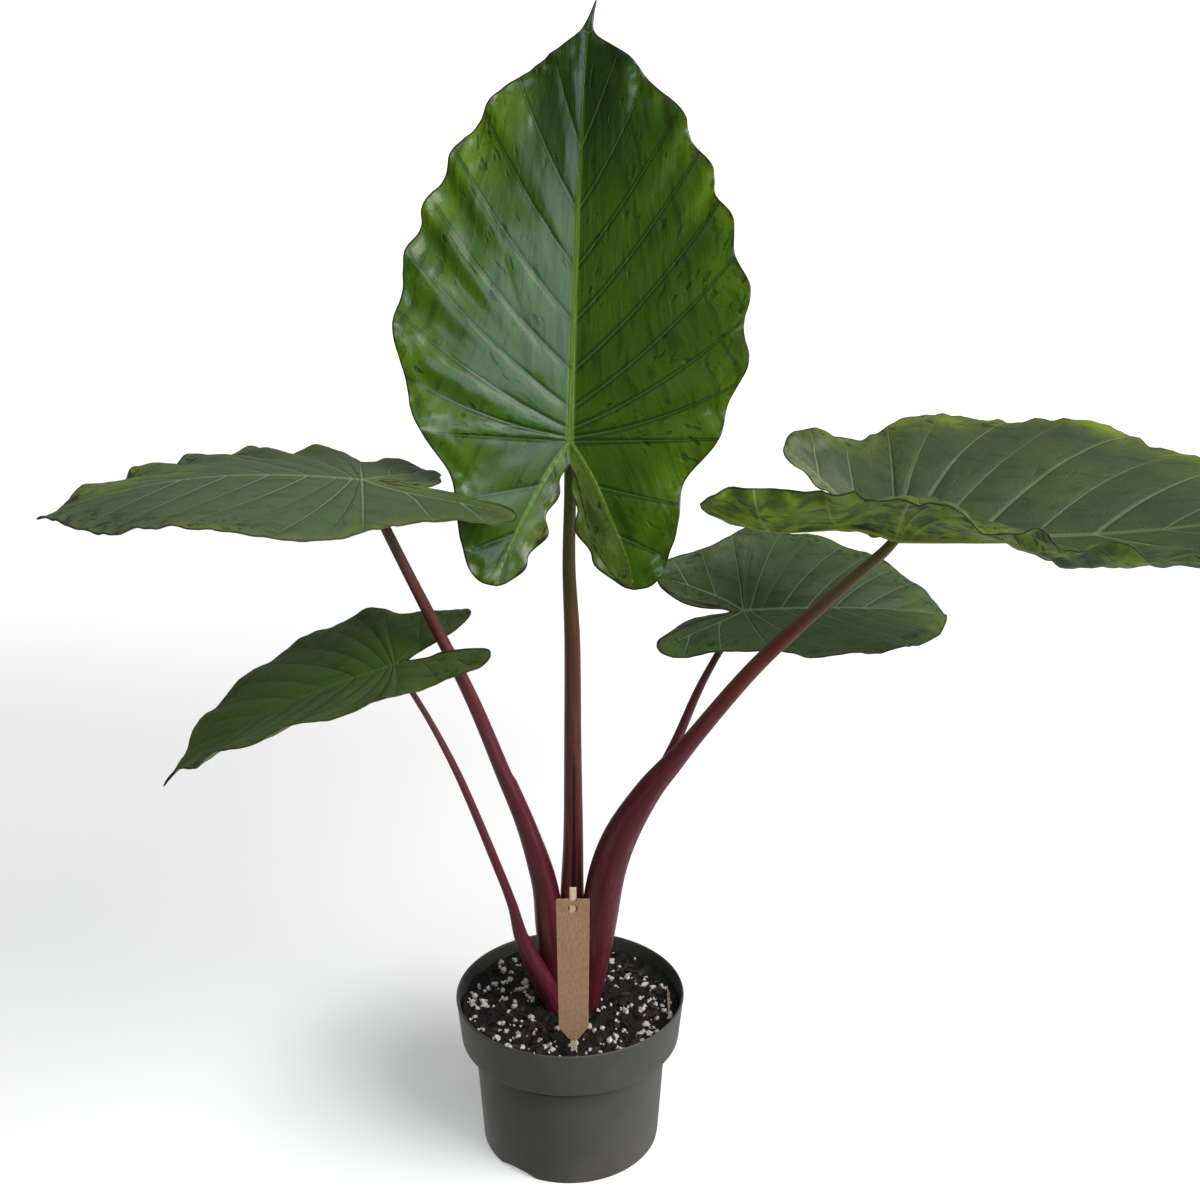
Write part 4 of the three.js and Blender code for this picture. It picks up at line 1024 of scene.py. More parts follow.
# Stalks: points [x, y, z, diameter] as in the CAD model
STALKS = {
    "crown": [
        (1, 0, 97, 22), (1, 0, 120, 22), (2, 0, 159, 20.5), (2, 0, 200, 17.6), (3, 0, 240, 15),
        (3, 1, 317, 12.7), (3, 1, 391, 11.5), (1, 3, 444, 9.4), (2, 3.5, 489, 8.6), (2.4, 4, 515, 8.3),
        (2.4, 4, 533, 6.7),
    ],
    "right": [
        (10, -4, 97, 20), (13, -5, 120, 23), (17, -8, 147, 25), (21, -11, 178, 27.5), (28, -15, 223, 27.1),
        (38, -19, 254, 24.7), (57, -23, 289, 18.5), (73, -26, 311, 14.7), (86, -29, 330, 13),
        (127, -34, 384, 11.4), (167, -39, 426, 9.5), (193, -42, 452, 8.2), (206, -44, 465, 7.6),
        (214, -45, 475, 6.6),
    ],
    "left": [
        (-8, 2, 97, 20), (-9, 1, 120, 22), (-11, -1, 142, 23), (-14, -4, 172, 22.8), (-17, -7, 203, 19.7),
        (-21, -10, 224, 18), (-31, -13, 259, 14), (-44, -16, 295, 11.8), (-65, -22, 355, 10),
        (-87, -25, 406, 8.6), (-106, -31, 451, 7.6), (-120, -35, 485, 7.1), (-130, -38, 511, 6),
    ],
    "right_lower": [
        (14, 6, 97, 13), (16, 8, 125, 14), (22, 13, 168, 13.5), (34, 20, 213, 10.6), (56, 28, 258, 9.2),
        (78, 36, 301, 7.9), (95, 45, 339, 6.5), (108, 52, 362, 5.6), (121, 58, 382, 5.3), (129, 62, 396, 4.8),
    ],
    "left_lower": [
        (-10, -8, 97, 15), (-13, -8, 115, 16), (-19, -10, 130, 15.8), (-26, -12, 145, 14.4),
        (-35, -13, 169, 11), (-41, -15, 196, 7.6), (-55, -16, 238, 6.7), (-70, -17, 280, 6),
        (-79, -19, 304, 5.5), (-94, -23, 339, 4.6), (-107, -26, 365, 4.2), (-116, -28, 383, 3.9),
    ],
}
PATH_STEPS = 12
STALK_RINGS = 150
STALK_SIDES = 56
STALK_FULLNESS = 0.965
STALK_END = 2.5
STALK_START = 0.5
STALK_CAP = 0.35
STALK_WOBBLES = [(0.012, 3, 70), (0.008, 7, -120)]
BARE_SIDE = 0.05
GROOVE_TOP = 312
GROOVE_BOTTOM = 130
GROOVE_WIDTH = 5
GROOVE_REACH = 3.2
GROOVE_X = 3.5
GROOVE_POINT = 0.35
GROOVE_RUNOUT = 0.06

# Where each sheath ends, as a height, how far it stands out there, and the way its open side faces
SHEATHS = {
    "crown": (312, 0.05, -80), "right": (316, 0.1, 150), "left": (292, 0.1, 20),
    "right_lower": (205, 0.06, 170), "left_lower": (166, 0.09, 10),
}
SHEATH_END = (-2, 3)
SHEATH_LIP = 34


def smooth_path(points, count):
    """A smooth path through points of any number of values, in even steps."""
    points = np.array(points, float)
    last = len(points) - 1
    first = 2 * points[0] - points[1]
    final = 2 * points[last] - points[last - 1]
    padded = np.vstack([first, points, final])
    t = np.linspace(0, last, PATH_STEPS * last + 1)
    index = np.minimum(np.floor(t).astype(int), last - 1)
    w = (t - index)[:, None]
    p = [padded[index + i] for i in range(4)]
    chords = [np.linalg.norm((p[i + 1] - p[i])[:, :3], axis=1, keepdims=True) for i in range(3)]
    gaps = [np.maximum(chord**0.5, 1e-3) for chord in chords]
    leave = (p[1] - p[0]) / gaps[0] - (p[2] - p[0]) / (gaps[0] + gaps[1]) + (p[2] - p[1]) / gaps[1]
    arrive = (p[2] - p[1]) / gaps[1] - (p[3] - p[1]) / (gaps[1] + gaps[2]) + (p[3] - p[2]) / gaps[2]
    leave, arrive = leave * gaps[1], arrive * gaps[1]
    path = hermite(p[1], p[2], leave, arrive, w)
    lengths = np.concatenate([[0], np.cumsum(np.linalg.norm(np.diff(path[:, :3], axis=0), axis=1))])
    steps = np.linspace(0, lengths[-1] - STALK_END, count)
    return np.stack([np.interp(steps, lengths, path[:, i]) for i in range(path.shape[1])], 1), steps


def stalk_material(name, looks):
    paint = Paint(name)
    rise, turn, distance, groove = (paint.attribute(key) for key in ("rise", "turn", "distance", "groove"))
    around = paint.node("ShaderNodeCombineXYZ", {0: turn, 1: distance, 2: rise}).outputs[0]

    def streaks(across, along, detail, roughness):
        return paint.noise(paint.stretch(around, (across, along, 0)), 1.0, detail, roughness)

    mottle = streaks(3, 0.12, 5, 0.65)
    level = paint.plus(rise, paint.times(paint.math("SUBTRACT", mottle, 0.5), 0.16))
    first, second, third = looks.turning
    low = paint.mix(paint.fade(level, first, second), looks.low, looks.middle)
    paint.tone = paint.mix(paint.fade(level, second, third), low, looks.high)
    paint.cover(paint.fade(streaks(5, 0.02, 4, 0.6), 0.45, 0.75, 0, 0.5), looks.pale)
    paint.cover(paint.fade(mottle, 0.52, 0.75, 0, 0.45), looks.dark)
    # Painted shade inside the crown stalk's sheath groove.
    paint.cover(paint.fade(groove, 0.05, 0.5, 0, 0.9), looks.groove)
    paint.cover(paint.fade(rise, 0.0, 0.12, 0.35, 0), looks.dark)
    ridges = paint.bump(streaks(11, 0.015, 3, 0.55), 0.35)
    return paint.finish(
        roughness=paint.fade(mottle, 0.3, 0.7, 0.36, 0.5), coat=0.15, coat_roughness=0.26, specular=0.35,
        normal=paint.bump(streaks(6, 0.9, 4, 0.6), 0.07, ridges),
    )


def stalk_swell(sheath, height, turn):
    """The stalk's fullness at each point: its sheath's lips, its bare side above, and faint wobbles."""
    sheath_top, lip, facing = sheath
    opening = np.clip(np.cos(turn - math.radians(facing)), 0, 1) ** 2
    covered = 1 - smooth(height - sheath_top, *SHEATH_END)
    near_top = np.exp(-(((sheath_top - height) / SHEATH_LIP) ** 2)) * covered
    swell = 1 + lip * (opening * near_top) - BARE_SIDE * opening * (1 - covered)
    for size, waves, rise in STALK_WOBBLES:
        swell = swell + size * np.cos(waves * turn + height / rise)
    return swell


def cut_groove(rings, centres):
    """Presses the groove down the front of the rings, and gives back how deep each point lies in it."""
    share = np.clip((GROOVE_TOP - rings[..., 2]) / (GROOVE_TOP - GROOVE_BOTTOM), 0, 1)
    off = np.abs(rings[..., 0] - GROOVE_X) / (GROOVE_WIDTH / 2 * share + GROOVE_POINT)
    front = rings[..., 1] < centres[:, None, 1]
    groove = np.where(front & (share > 0), np.clip(1 - off**2, 0, 1), 0) * smooth(share, 0, GROOVE_RUNOUT)
    rings[..., 1] += groove * GROOVE_REACH * (0.25 + 0.75 * share)
    return groove


def stalk_mesh(name, material):
    path, steps = smooth_path(STALKS[name], STALK_RINGS)
    centres, radii = path[:, :3], path[:, 3] / 2 * STALK_FULLNESS
    ahead = unit(np.gradient(centres, axis=0))
    east = unit(np.array([1.0, 0, 0]) - ahead * ahead[:, :1])
    north = np.cross(ahead, east)
    angles = 2 * np.pi * np.arange(STALK_SIDES) / STALK_SIDES
    turn = angles[None, :]
    scale = radii[:, None] * stalk_swell(SHEATHS[name], centres[:, 2:3], turn)
    rings = (
        centres[:, None, :] + east[:, None, :] * (np.cos(turn) * scale)[..., None]
        + north[:, None, :] * (np.sin(turn) * scale)[..., None]
    )
    groove = cut_groove(rings, centres) if name == "crown" else np.zeros(scale.shape)
    start, end = centres[0] - ahead[0] * STALK_START, centres[-1] + ahead[-1] * radii[-1] * STALK_CAP
    mesh = new_mesh(f"petiole_{name}", *tube(rings, start, end), material)
    attributes = {
        "rise": ((steps / steps[-1])[:, None], (0, 1)), "turn": (np.abs(angles / np.pi - 1), (0, 0)),
        "distance": (steps[:, None], (0, steps[-1])), "groove": (groove, (0, 0)),
    }
    for key, (value, ends) in attributes.items():
        whole = np.broadcast_to(value, scale.shape).ravel()
        add_attribute(mesh, key, "POINT", np.concatenate([whole, ends]))
    return mesh


# The groove colour is painted shade inside the sheath's groove.
BURGUNDY = dict(
    low=(90, 28, 38), middle=(102, 44, 38), high=(102, 88, 44), pale=(140, 78, 78), dark=(50, 16, 24),
    groove=(38, 12, 18), turning=(0.35, 0.68, 0.99),
)
STALK_LOOKS = {
    "crown": dict(low=(106, 42, 40), middle=(92, 54, 34), high=(92, 100, 44), turning=(0.3, 0.62, 0.92)),
    "right": dict(low=(94, 27, 37), middle=(110, 48, 38), high=(118, 116, 50), turning=(0.4, 0.76, 0.98)),
    "left": dict(low=(96, 27, 40), middle=(104, 41, 43), high=(104, 74, 54)),
    "right_lower": dict(low=(94, 28, 40), middle=(98, 36, 42), high=(96, 54, 44)),
    "left_lower": dict(low=(104, 32, 50), middle=(106, 42, 54), high=(100, 74, 60)),
}

for stalk_name in STALKS:
    piece_name = f"petiole_{stalk_name}"
    stalk_looks = SimpleNamespace(**dict(BURGUNDY, **STALK_LOOKS[stalk_name]))
    stalk = stalk_mesh(stalk_name, stalk_material(piece_name, stalk_looks))
    add_piece(piece_name, stalk, f"stalk_{stalk_name}")

# The stem keeps its CAD shape
stem_bark = grained("stem_bark", (58, 30, 30), (88, 60, 46), 0.7, (90, 5, 0.65), 0.8)
for stem_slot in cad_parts["stem"].material_slots:
    stem_slot.material = stem_bark


# Pot
POT_HEIGHT = 118
RIM_RADIUS = 85
BAND_BOTTOM = 83
BAND_BOTTOM_RADIUS = 81.5
WALL_TOP_RADIUS = 71.8
WALL_FOOT_RADIUS = 66.9
FOOT_RADIUS = 66.2
FOOT_RING_RADIUS = 57
FOOT_PAD_RADIUS = 20
POT_WALL = 1.6
POT_FLOOR = 5
FLOOR_RECESS = 3
LIP_BOTTOM = 115
LIP_THICKNESS = 2.3
POT_SEGMENTS = 168
POT_SHARP = 38
ARC_POINTS = 4
ARC_SHARE = 0.4
MOULD_LINE = 76
NOTCHES = 3
NOTCH_WIDTH = 34
NOTCH_HEIGHT = 4
NOTCH_TURN = -35
NOTCH_SEGMENTS = 144
DRAINS = 6
DRAIN_CIRCLE = 40
DRAIN_RADIUS = 4
DRAIN_SEGMENTS = 32
CUTTER_LENGTH = 30
WALL_SLOPE = (WALL_TOP_RADIUS - WALL_FOOT_RADIUS) / (BAND_BOTTOM - 0.6 - POT_FLOOR)
MOULD_RADIUS = WALL_FOOT_RADIUS + WALL_SLOPE * (MOULD_LINE - POT_FLOOR)

# From the middle of the foot up the outside, over the rim and down the inside: radius, height, rounding
POT_PROFILE = [
    (0, 0, 0), (FOOT_PAD_RADIUS, 0, 0.6), (FOOT_PAD_RADIUS + 1.5, FLOOR_RECESS, 0.6),
    (FOOT_RING_RADIUS - 1.5, FLOOR_RECESS, 0.6), (FOOT_RING_RADIUS, 0, 0.6),
    (FOOT_RADIUS, 0, 0.5), (FOOT_RADIUS + 0.5, 0.9, 0.5), (WALL_FOOT_RADIUS, POT_FLOOR, 2),
    (MOULD_RADIUS, MOULD_LINE, 0.1), (MOULD_RADIUS - 0.21, MOULD_LINE + 0.25, 0.1),
    (MOULD_RADIUS - 0.19, MOULD_LINE + 0.6, 0.1), (MOULD_RADIUS + 0.05, MOULD_LINE + 0.85, 0.1),
    (WALL_TOP_RADIUS, BAND_BOTTOM - 0.6, 0.5),
    (WALL_TOP_RADIUS + 0.8, BAND_BOTTOM + 0.8, 0.5), (BAND_BOTTOM_RADIUS - 0.8, BAND_BOTTOM + 0.8, 0.6),
    (BAND_BOTTOM_RADIUS, BAND_BOTTOM + 1.6, 0.6), (RIM_RADIUS - 0.4, LIP_BOTTOM, 0.5),
    (RIM_RADIUS, POT_HEIGHT - 1.9, 0.5), (RIM_RADIUS - 0.3, POT_HEIGHT - 0.4, 0.6),
    (RIM_RADIUS - 1.1, POT_HEIGHT, 0.5), (RIM_RADIUS - 1.9, POT_HEIGHT - 1.1, 0.5),
    (RIM_RADIUS - LIP_THICKNESS, LIP_BOTTOM, 0.5), (BAND_BOTTOM_RADIUS - POT_WALL, BAND_BOTTOM + 3.2, 0.6),
    (WALL_TOP_RADIUS - POT_WALL, BAND_BOTTOM, 0.6), (WALL_FOOT_RADIUS - POT_WALL, POT_FLOOR + 3, 1),
    (WALL_FOOT_RADIUS - POT_WALL - 3, POT_FLOOR, 1), (0, POT_FLOOR, 0),
]


def rounded_profile(profile):
    """The profile with its corners turned into small arcs."""
    points = [profile[0][:2]]
    for before, (radius, height, rounding), after in zip(profile, profile[1:], profile[2:]):
        corner = np.array([radius, height], float)
        reach = [min(rounding, ARC_SHARE * np.linalg.norm(corner - end[:2])) for end in (before, after)]
        points += corner_arc(before[:2], corner, after[:2], *reach, ARC_POINTS)
    return [*points, profile[-1][:2]]


def cut_mesh(mesh, cutter, name):
    """The mesh less the cutter."""
    body, tool = new_object("cut_body", mesh), new_object("cut_tool", cutter)
    modifier = body.modifiers.new("cut", "BOOLEAN")
    modifier.object = tool
    modifier.operation = "DIFFERENCE"
    modifier.solver = "EXACT"
    result = evaluated_mesh(body)
    result.name = name
    for shape in (body, tool):
        bpy.data.objects.remove(shape)
    return result


def add_rod(built, radius, segments, matrix):
    bmesh.ops.create_cone(
        built, cap_ends=True, segments=segments, radius1=radius * MM, radius2=radius * MM,
        depth=CUTTER_LENGTH * MM, matrix=matrix,
    )


def pot_mesh(material):
    """The turned pot less the notches in its foot and the drain holes in its floor."""
    body = new_mesh("pot_body", *lathe(rounded_profile(POT_PROFILE), POT_SEGMENTS))
    cutters = bmesh.new()
    notch_radius = ((NOTCH_WIDTH / 2) ** 2 + NOTCH_HEIGHT**2) / (2 * NOTCH_HEIGHT)
    place = Matrix.Translation(Vector((0, -FOOT_RADIUS, NOTCH_HEIGHT - notch_radius)) * MM)
    for index in range(NOTCHES):
        turn = Matrix.Rotation(math.radians(NOTCH_TURN + 360 / NOTCHES * index), 4, "Z")
        add_rod(cutters, notch_radius, NOTCH_SEGMENTS, turn @ place @ UPRIGHT)
    for middle in ring(DRAIN_CIRCLE, 0, DRAINS):
        add_rod(cutters, DRAIN_RADIUS, DRAIN_SEGMENTS, Matrix.Translation(Vector(middle) * MM))
    mesh = dress(cut_mesh(body, mesh_from(cutters, "pot_cutters"), "nursery_pot"), material)
    mesh.set_sharp_from_angle(angle=math.radians(POT_SHARP))
    return mesh


def pot_material():
    """Grey plastic with faint clouds, upright scuffs, pale specks and some dust at the foot."""
    paint = Paint("pot_plastic")
    place = paint.place()
    cloud = paint.noise(place, 14, 4, 0.6)
    streak = paint.noise(paint.stretch(place, (60, 60, 5)), 1.0, 4, 0.6)
    speck = paint.noise(place, 900, 2, 0.5)
    paint.tone = paint.mix(paint.fade(cloud, 0.3, 0.7), (75, 74, 70), (88, 87, 83))
    paint.cover(paint.fade(streak, 0.5, 0.8, 0, 0.35), (96, 95, 91))
    low = paint.fade(paint.axes(place)["Z"], 0.0, 0.03, 1, 0)
    paint.cover(paint.times(low, paint.fade(cloud, 0.35, 0.6, 0, 0.3)), (104, 98, 92))
    paint.cover(paint.fade(speck, 0.68, 0.74, 0, 0.3), (120, 118, 114))
    grain = paint.bump(paint.noise(place, 700, 3, 0.6), 0.06)
    return paint.finish(
        roughness=paint.fade(cloud, 0.3, 0.7, 0.46, 0.56), ior=1.46, normal=paint.bump(streak, 0.12, grain),
    )


add_piece("nursery_pot", pot_mesh(pot_material()), "pot")

# Soil
SOIL_LEVEL = 107
SOIL_EDGE = 80.6
SOIL_GAP = 1.1
SOIL_CHAMFER = 3.3
SOIL_FOOT = 0.3
SOIL_SHOULDER = (78.6, 90)
SOIL_SIDE_TOP = (SOIL_EDGE - 0.4, 104.5)
SOIL_RINGS = 74
SOIL_SEGMENTS = 220
SOIL_SEED = 41
SOIL_LUMPS = [(1.5, 7), (0.9, 2.6), (0.4, 1.1)]
SOIL_SWELL = 1.6
SWELL_ACROSS = (0.16, 1.3)
SWELL_BACK = (0.19, -0.4)
SOIL_RIPPLE = 0.8
RIPPLE_TURN = (0.37, -0.29)
STEM_CLEARANCE = 16
BARE_DENSITY = 0.3

# Grains: how many, the bare strip along the edge, their sizes, how they are stretched, the size and number of
# their lumps, how far they stand out, and the places where they lie closer together, as x, y and size
PERLITE = 210
PERLITE_MARGIN = 4
PERLITE_SIZES = [0.8, 1.2, 1.7, 2.3]
PERLITE_SPREAD = (0.8, 1.2)
PERLITE_STRETCH = (1, (0.6, 1), (0.6, 0.95))
PERLITE_LUMPS = (0.9, 1.5)
PERLITE_LIFT = 0.35
CLUMP_COUNTS = [1, 1, 2, 3]
CLUMP_REACH = 2.4
PERLITE_CLUSTERS = [(-52, -38, 26), (-28, -60, 20), (58, -14, 26), (40, -45, 24), (-62, 12, 20)]
CRUMBS = 1500
CRUMB_MARGIN = 2
CRUMB_SIZES = (0.5, 1.6)
CRUMB_STRETCH = (1.3, (0.6, 1), (0.5, 1))
CRUMB_LUMPS = (0.9, 1.3)
CRUMB_LIFT = 0.25
CRUMB_CLUSTERS = [(0, 0, 200)]
CHIPS = 110
CHIP_MARGIN = 6
CHIP_SIZES = [(2.2, 5.5), (1.3, 2.8), (0.6, 1.4)]
CHIP_LUMPS = (0.4, 1.8)
CHIP_BLUNTNESS = 0.6
CHIP_LIFT = 0.5
CHIP_CLUSTERS = [(42, -50, 26), (20, -66, 20), (-20, -45, 20), (66, 18, 22)]
ANY_TURN = [("X", 0, 6.3), ("Y", 0, 6.3), ("Z", 0, 6.3)]
FLAT_TURN = [("Z", 0, 6.3), ("X", -0.7, 0.7), ("Y", -0.5, 0.5)]

# The curled sliver of bark by the rim
HUSK_ARC = (-17, 14)
HUSK_RADIUS = 76
HUSK_BOW = 2.2
HUSK_RISE = 1.2
HUSK_STEPS = 14
HUSK_HALF_WIDTH = 0.9
HUSK_TAPER = 0.08
HUSK_END = 0.15
HUSK_SECTION = [(1, 0.7), (1, 1.6), (-1, 2), (-1, 1.1)]


def soil_height(x, y):
    across = math.sin(SWELL_ACROSS[0] * x + SWELL_ACROSS[1])
    back = math.cos(SWELL_BACK[0] * y + SWELL_BACK[1])
    level = SOIL_LEVEL + SOIL_SWELL * across * back
    level += SOIL_RIPPLE * math.sin(RIPPLE_TURN[0] * x + RIPPLE_TURN[1] * y)
    for height, width in SOIL_LUMPS:
        level += height * noise.noise(Vector((x, y, 0)) / width)
    return level


def soil_material():
    paint = Paint("soil_peat")
    place = paint.place()
    tone = paint.noise(place, 240, 6, 0.7)
    paint.tone = paint.mix(paint.fade(tone, 0.35, 0.7), (13, 9, 8), (31, 21, 18))
    paint.cover(paint.fade(paint.noise(place, 60, 4, 0.6), 0.55, 0.75, 0, 0.5), (46, 30, 26))
    fine = paint.noise(place, 900, 4, 0.7)
    return paint.finish(roughness=0.85, normal=paint.bump(fine, 0.3, paint.bump(tone, 1.2)))


def ball(subdivisions):
    built = bmesh.new()
    bmesh.ops.create_icosphere(built, subdivisions=subdivisions, radius=1)
    vertices = np.array([vertex.co[:] for vertex in built.verts])
    faces = np.array([[vertex.index for vertex in face.verts] for face in built.faces])
    built.free()
    return vertices, faces


def split_quads(faces):
    """The faces as triangles."""
    return [face[:3] for face in faces] + [[face[0], *face[2:]] for face in faces if len(face) == 4]


class Soil:
    """Collects the soil's body and its loose grains into one mesh."""

    def __init__(self):
        self.rng = random.Random(SOIL_SEED)
        self.vertices = []
        self.faces = []
        self.slots = []
        self.count = 0

    def add(self, vertices, faces, slot):
        self.vertices.append(np.array(vertices, float))
        self.faces += (np.array(faces) + self.count).tolist()
        self.slots += [slot] * len(faces)
        self.count += len(vertices)

    def draw(self, low, high):
        return self.rng.uniform(low, high)

    def add_body(self):
        """The closed body: the pot's inside shape, with a rough top."""
        foot, bottom = WALL_FOOT_RADIUS - POT_WALL - SOIL_GAP, POT_FLOOR + SOIL_FOOT
        sides = [
            (foot - SOIL_CHAMFER, bottom), (foot, bottom + SOIL_CHAMFER),
            (WALL_TOP_RADIUS - POT_WALL - SOIL_GAP, BAND_BOTTOM), SOIL_SHOULDER, SOIL_SIDE_TOP,
        ]
        rings = [ring(radius, height, SOIL_SEGMENTS) for radius, height in sides]
        for step in range(SOIL_RINGS, 0, -1):
            top = ring(SOIL_EDGE * step / SOIL_RINGS, 0, SOIL_SEGMENTS)
            top[:, 2] = [soil_height(x, y) for x, y, _ in top]
            rings.append(top)
        vertices, faces = tube(np.array(rings), (0, 0, bottom), (0, 0, soil_height(0, 0)))
        self.add(vertices, split_quads(faces), 0)

    def place(self, reach, clusters):
        """A place on the soil, denser near the clusters and clear of the stem."""
        while True:
            angle, radius = self.draw(0, 2 * math.pi), reach * math.sqrt(self.rng.random())
            x, y = radius * math.cos(angle), radius * math.sin(angle)
            density = BARE_DENSITY
            for cx, cy, size in clusters:
                density += math.exp(-((x - cx) ** 2 + (y - cy) ** 2) / size**2)
            if self.rng.random() < density and math.hypot(x, y) > STEM_CLEARANCE:
                return x, y

    def add_grain(self, shape, slot, place, size, lumps, stretch, turns, lift):
        """A lumpy grain on the soil. A stretch is a number or a range to draw from, as every turn is."""
        vertices, faces = shape
        amount, scale = lumps
        shift = Vector((self.draw(0, 90), self.draw(0, 90), self.draw(0, 90)))
        swell = [1 + amount * noise.noise(Vector(vertex) * scale + shift) for vertex in vertices]
        stretch = [self.draw(*value) if isinstance(value, tuple) else value for value in stretch]
        matrix = Matrix.Identity(3)
        vertices = vertices * np.array(swell)[:, None] * np.array(stretch)
        for axis, low, high in turns:
            matrix = matrix @ Matrix.Rotation(self.draw(low, high), 3, axis)
        x, y = place
        turned = vertices @ np.array(matrix).T
        self.add(turned * size + np.array([x, y, soil_height(x, y) + lift]), faces, slot)

    def add_perlite(self, shape):
        """Clumps of one to three white grains."""
        for _ in range(PERLITE):
            clump = self.place(SOIL_EDGE - PERLITE_MARGIN, PERLITE_CLUSTERS)
            for grain in range(self.rng.choice(CLUMP_COUNTS)):
                size = self.draw(*PERLITE_SPREAD) * self.rng.choice(PERLITE_SIZES)
                place = [value + self.draw(-CLUMP_REACH, CLUMP_REACH) * min(grain, 1) for value in clump]
                lift = PERLITE_LIFT * size
                self.add_grain(shape, 1, place, size, PERLITE_LUMPS, PERLITE_STRETCH, ANY_TURN, lift)

    def add_crumbs(self, shape):
        for _ in range(CRUMBS):
            size = self.draw(*CRUMB_SIZES)
            place = self.place(SOIL_EDGE - CRUMB_MARGIN, CRUMB_CLUSTERS)
            lift = CRUMB_LIFT * size
            self.add_grain(shape, 2, place, size, CRUMB_LUMPS, CRUMB_STRETCH, ANY_TURN, lift)

    def add_chips(self, shape):
        """Flat bark chips with blunt corners."""
        vertices, faces = shape
        blunt = np.sign(vertices) * np.abs(vertices) ** CHIP_BLUNTNESS
        for _ in range(CHIPS):
            stretch = [self.draw(*reach) for reach in CHIP_SIZES]
            place = self.place(SOIL_EDGE - CHIP_MARGIN, CHIP_CLUSTERS)
            lift = CHIP_LIFT * stretch[2]
            self.add_grain((blunt, faces), 3, place, 1, CHIP_LUMPS, stretch, FLAT_TURN, lift)

    def add_husk(self):
        points = []
        for step in range(HUSK_STEPS + 1):
            share = step / HUSK_STEPS
            angle = math.radians(HUSK_ARC[0] + (HUSK_ARC[1] - HUSK_ARC[0]) * share)
            reach = HUSK_RADIUS - HUSK_BOW * math.sin(math.pi * share)
            taper = math.sin(math.pi * (HUSK_TAPER + (1 - 2 * HUSK_TAPER) * share))
            half = HUSK_HALF_WIDTH * taper + HUSK_END
            for side, rise in HUSK_SECTION:
                out = reach + side * half
                x, y = out * math.cos(angle), out * math.sin(angle)
                points.append((x, y, soil_height(x, y) + rise + HUSK_RISE * hump(share)))
        last = 4 * HUSK_STEPS
        faces = [[3, 2, 1, 0], *tube_faces(HUSK_STEPS + 1, 4), [last, last + 1, last + 2, last + 3]]
        self.add(points, split_quads(faces), 4)

    def mesh(self, name, materials):
        mesh = new_mesh(name, np.concatenate(self.vertices), self.faces, *materials)
        mesh.polygons.foreach_set("material_index", self.slots)
        mesh.polygons.foreach_set("use_smooth", [slot < 2 for slot in self.slots])
        return mesh


soil = Soil()
soil.add_body()
soil.add_perlite(ball(2))
soil.add_crumbs(ball(1))
soil.add_chips(ball(2))
soil.add_husk()
soil_materials = [
    soil_material(),
    grained("soil_perlite", (196, 191, 183), (246, 243, 237), 0.8, (500, 4, 0.65), 0.3),
    grained("soil_crumb", (18, 12, 11), (44, 30, 26), 0.85, (400, 4, 0.65), 0.4),
    grained("soil_bark", (30, 19, 17), (66, 44, 38), 0.75, (260, 4, 0.65), 0.5),
    grained("soil_husk", (120, 98, 76), (186, 160, 128), 0.7, (300, 4, 0.65), 0.2),
]
add_piece("potting_mix", soil.mesh("potting_mix", soil_materials), "soil")

# Tag and its stick
TAG_X = 3.9
TAG_Y = -67
TAG_THICKNESS = 1.2
TAG_BEVEL = 0.16
TAG_BEVEL_STEPS = 2
TAG_TOP = 228.5
TAG_SHOULDER = 130
TAG_POINT = 120.5
TAG_SLIT = (2.6, 1.6)
SLIT_ROUND = 0.15
HOLE_HEIGHT = 221.5
HOLE_RADIUS = 3.3
HOLE_SEGMENTS = 40
CORNER_POINTS = 6
STICK_SIZE = (4.6, 2, 158)
STICK_TOP = 236
STICK_GAP = 0.3
STICK_BEVEL = 0.45
STICK_BEVEL_STEPS = 3
STICK_BEVEL_ROUND = 0.6
STICK_SHARP = 50

# The right half of the tag's outline from its top to its foot: x, height and rounding
TAG_SIDE = [(11.5, TAG_TOP, 1.6), (10.3, TAG_SHOULDER, 0.4), (3.5, TAG_POINT, 0.4)]


def tag_outline():
    """The outline with its rounded corners and the slit in its top edge."""
    slit, depth = TAG_SLIT
    slit_side = [(slit, TAG_TOP - depth, SLIT_ROUND), (slit, TAG_TOP, SLIT_ROUND)]
    right = [*slit_side, *TAG_SIDE]
    outline = right + [(-x, z, radius) for x, z, radius in reversed(right)]
    points = []
    for index, (x, z, radius) in enumerate(outline):
        before, after = outline[index - 1][:2], outline[(index + 1) % len(outline)][:2]
        points += corner_arc(before, (x, z), after, radius, radius, CORNER_POINTS)
    return points


def tag_mesh(material):
    hole = [(x, HOLE_HEIGHT + y) for x, y, _ in ring(HOLE_RADIUS, 0, HOLE_SEGMENTS)[::-1]]
    curve = bpy.data.curves.new("tag_curve", "CURVE")
    curve.dimensions = "2D"
    curve.fill_mode = "BOTH"
    for points in (tag_outline(), hole):
        spline = curve.splines.new("POLY")
        spline.points.add(len(points) - 1)
        for point, (x, z) in zip(spline.points, points):
            point.co = (x * MM, z * MM, 0, 1)
        spline.use_cyclic_u = True
    curve.extrude = (TAG_THICKNESS / 2 - TAG_BEVEL) * MM
    curve.bevel_depth = TAG_BEVEL * MM
    curve.bevel_resolution = TAG_BEVEL_STEPS
    curve.offset = -TAG_BEVEL * MM
    shape = new_object("tag_shape", curve)
    mesh = evaluated_mesh(shape)
    bpy.data.objects.remove(shape)
    mesh.name = "card_tag"
    mesh.transform(Matrix.Translation(Vector((TAG_X, TAG_Y, 0)) * MM) @ UPRIGHT)
    mesh.materials.clear()
    mesh.materials.append(material)
    return mesh


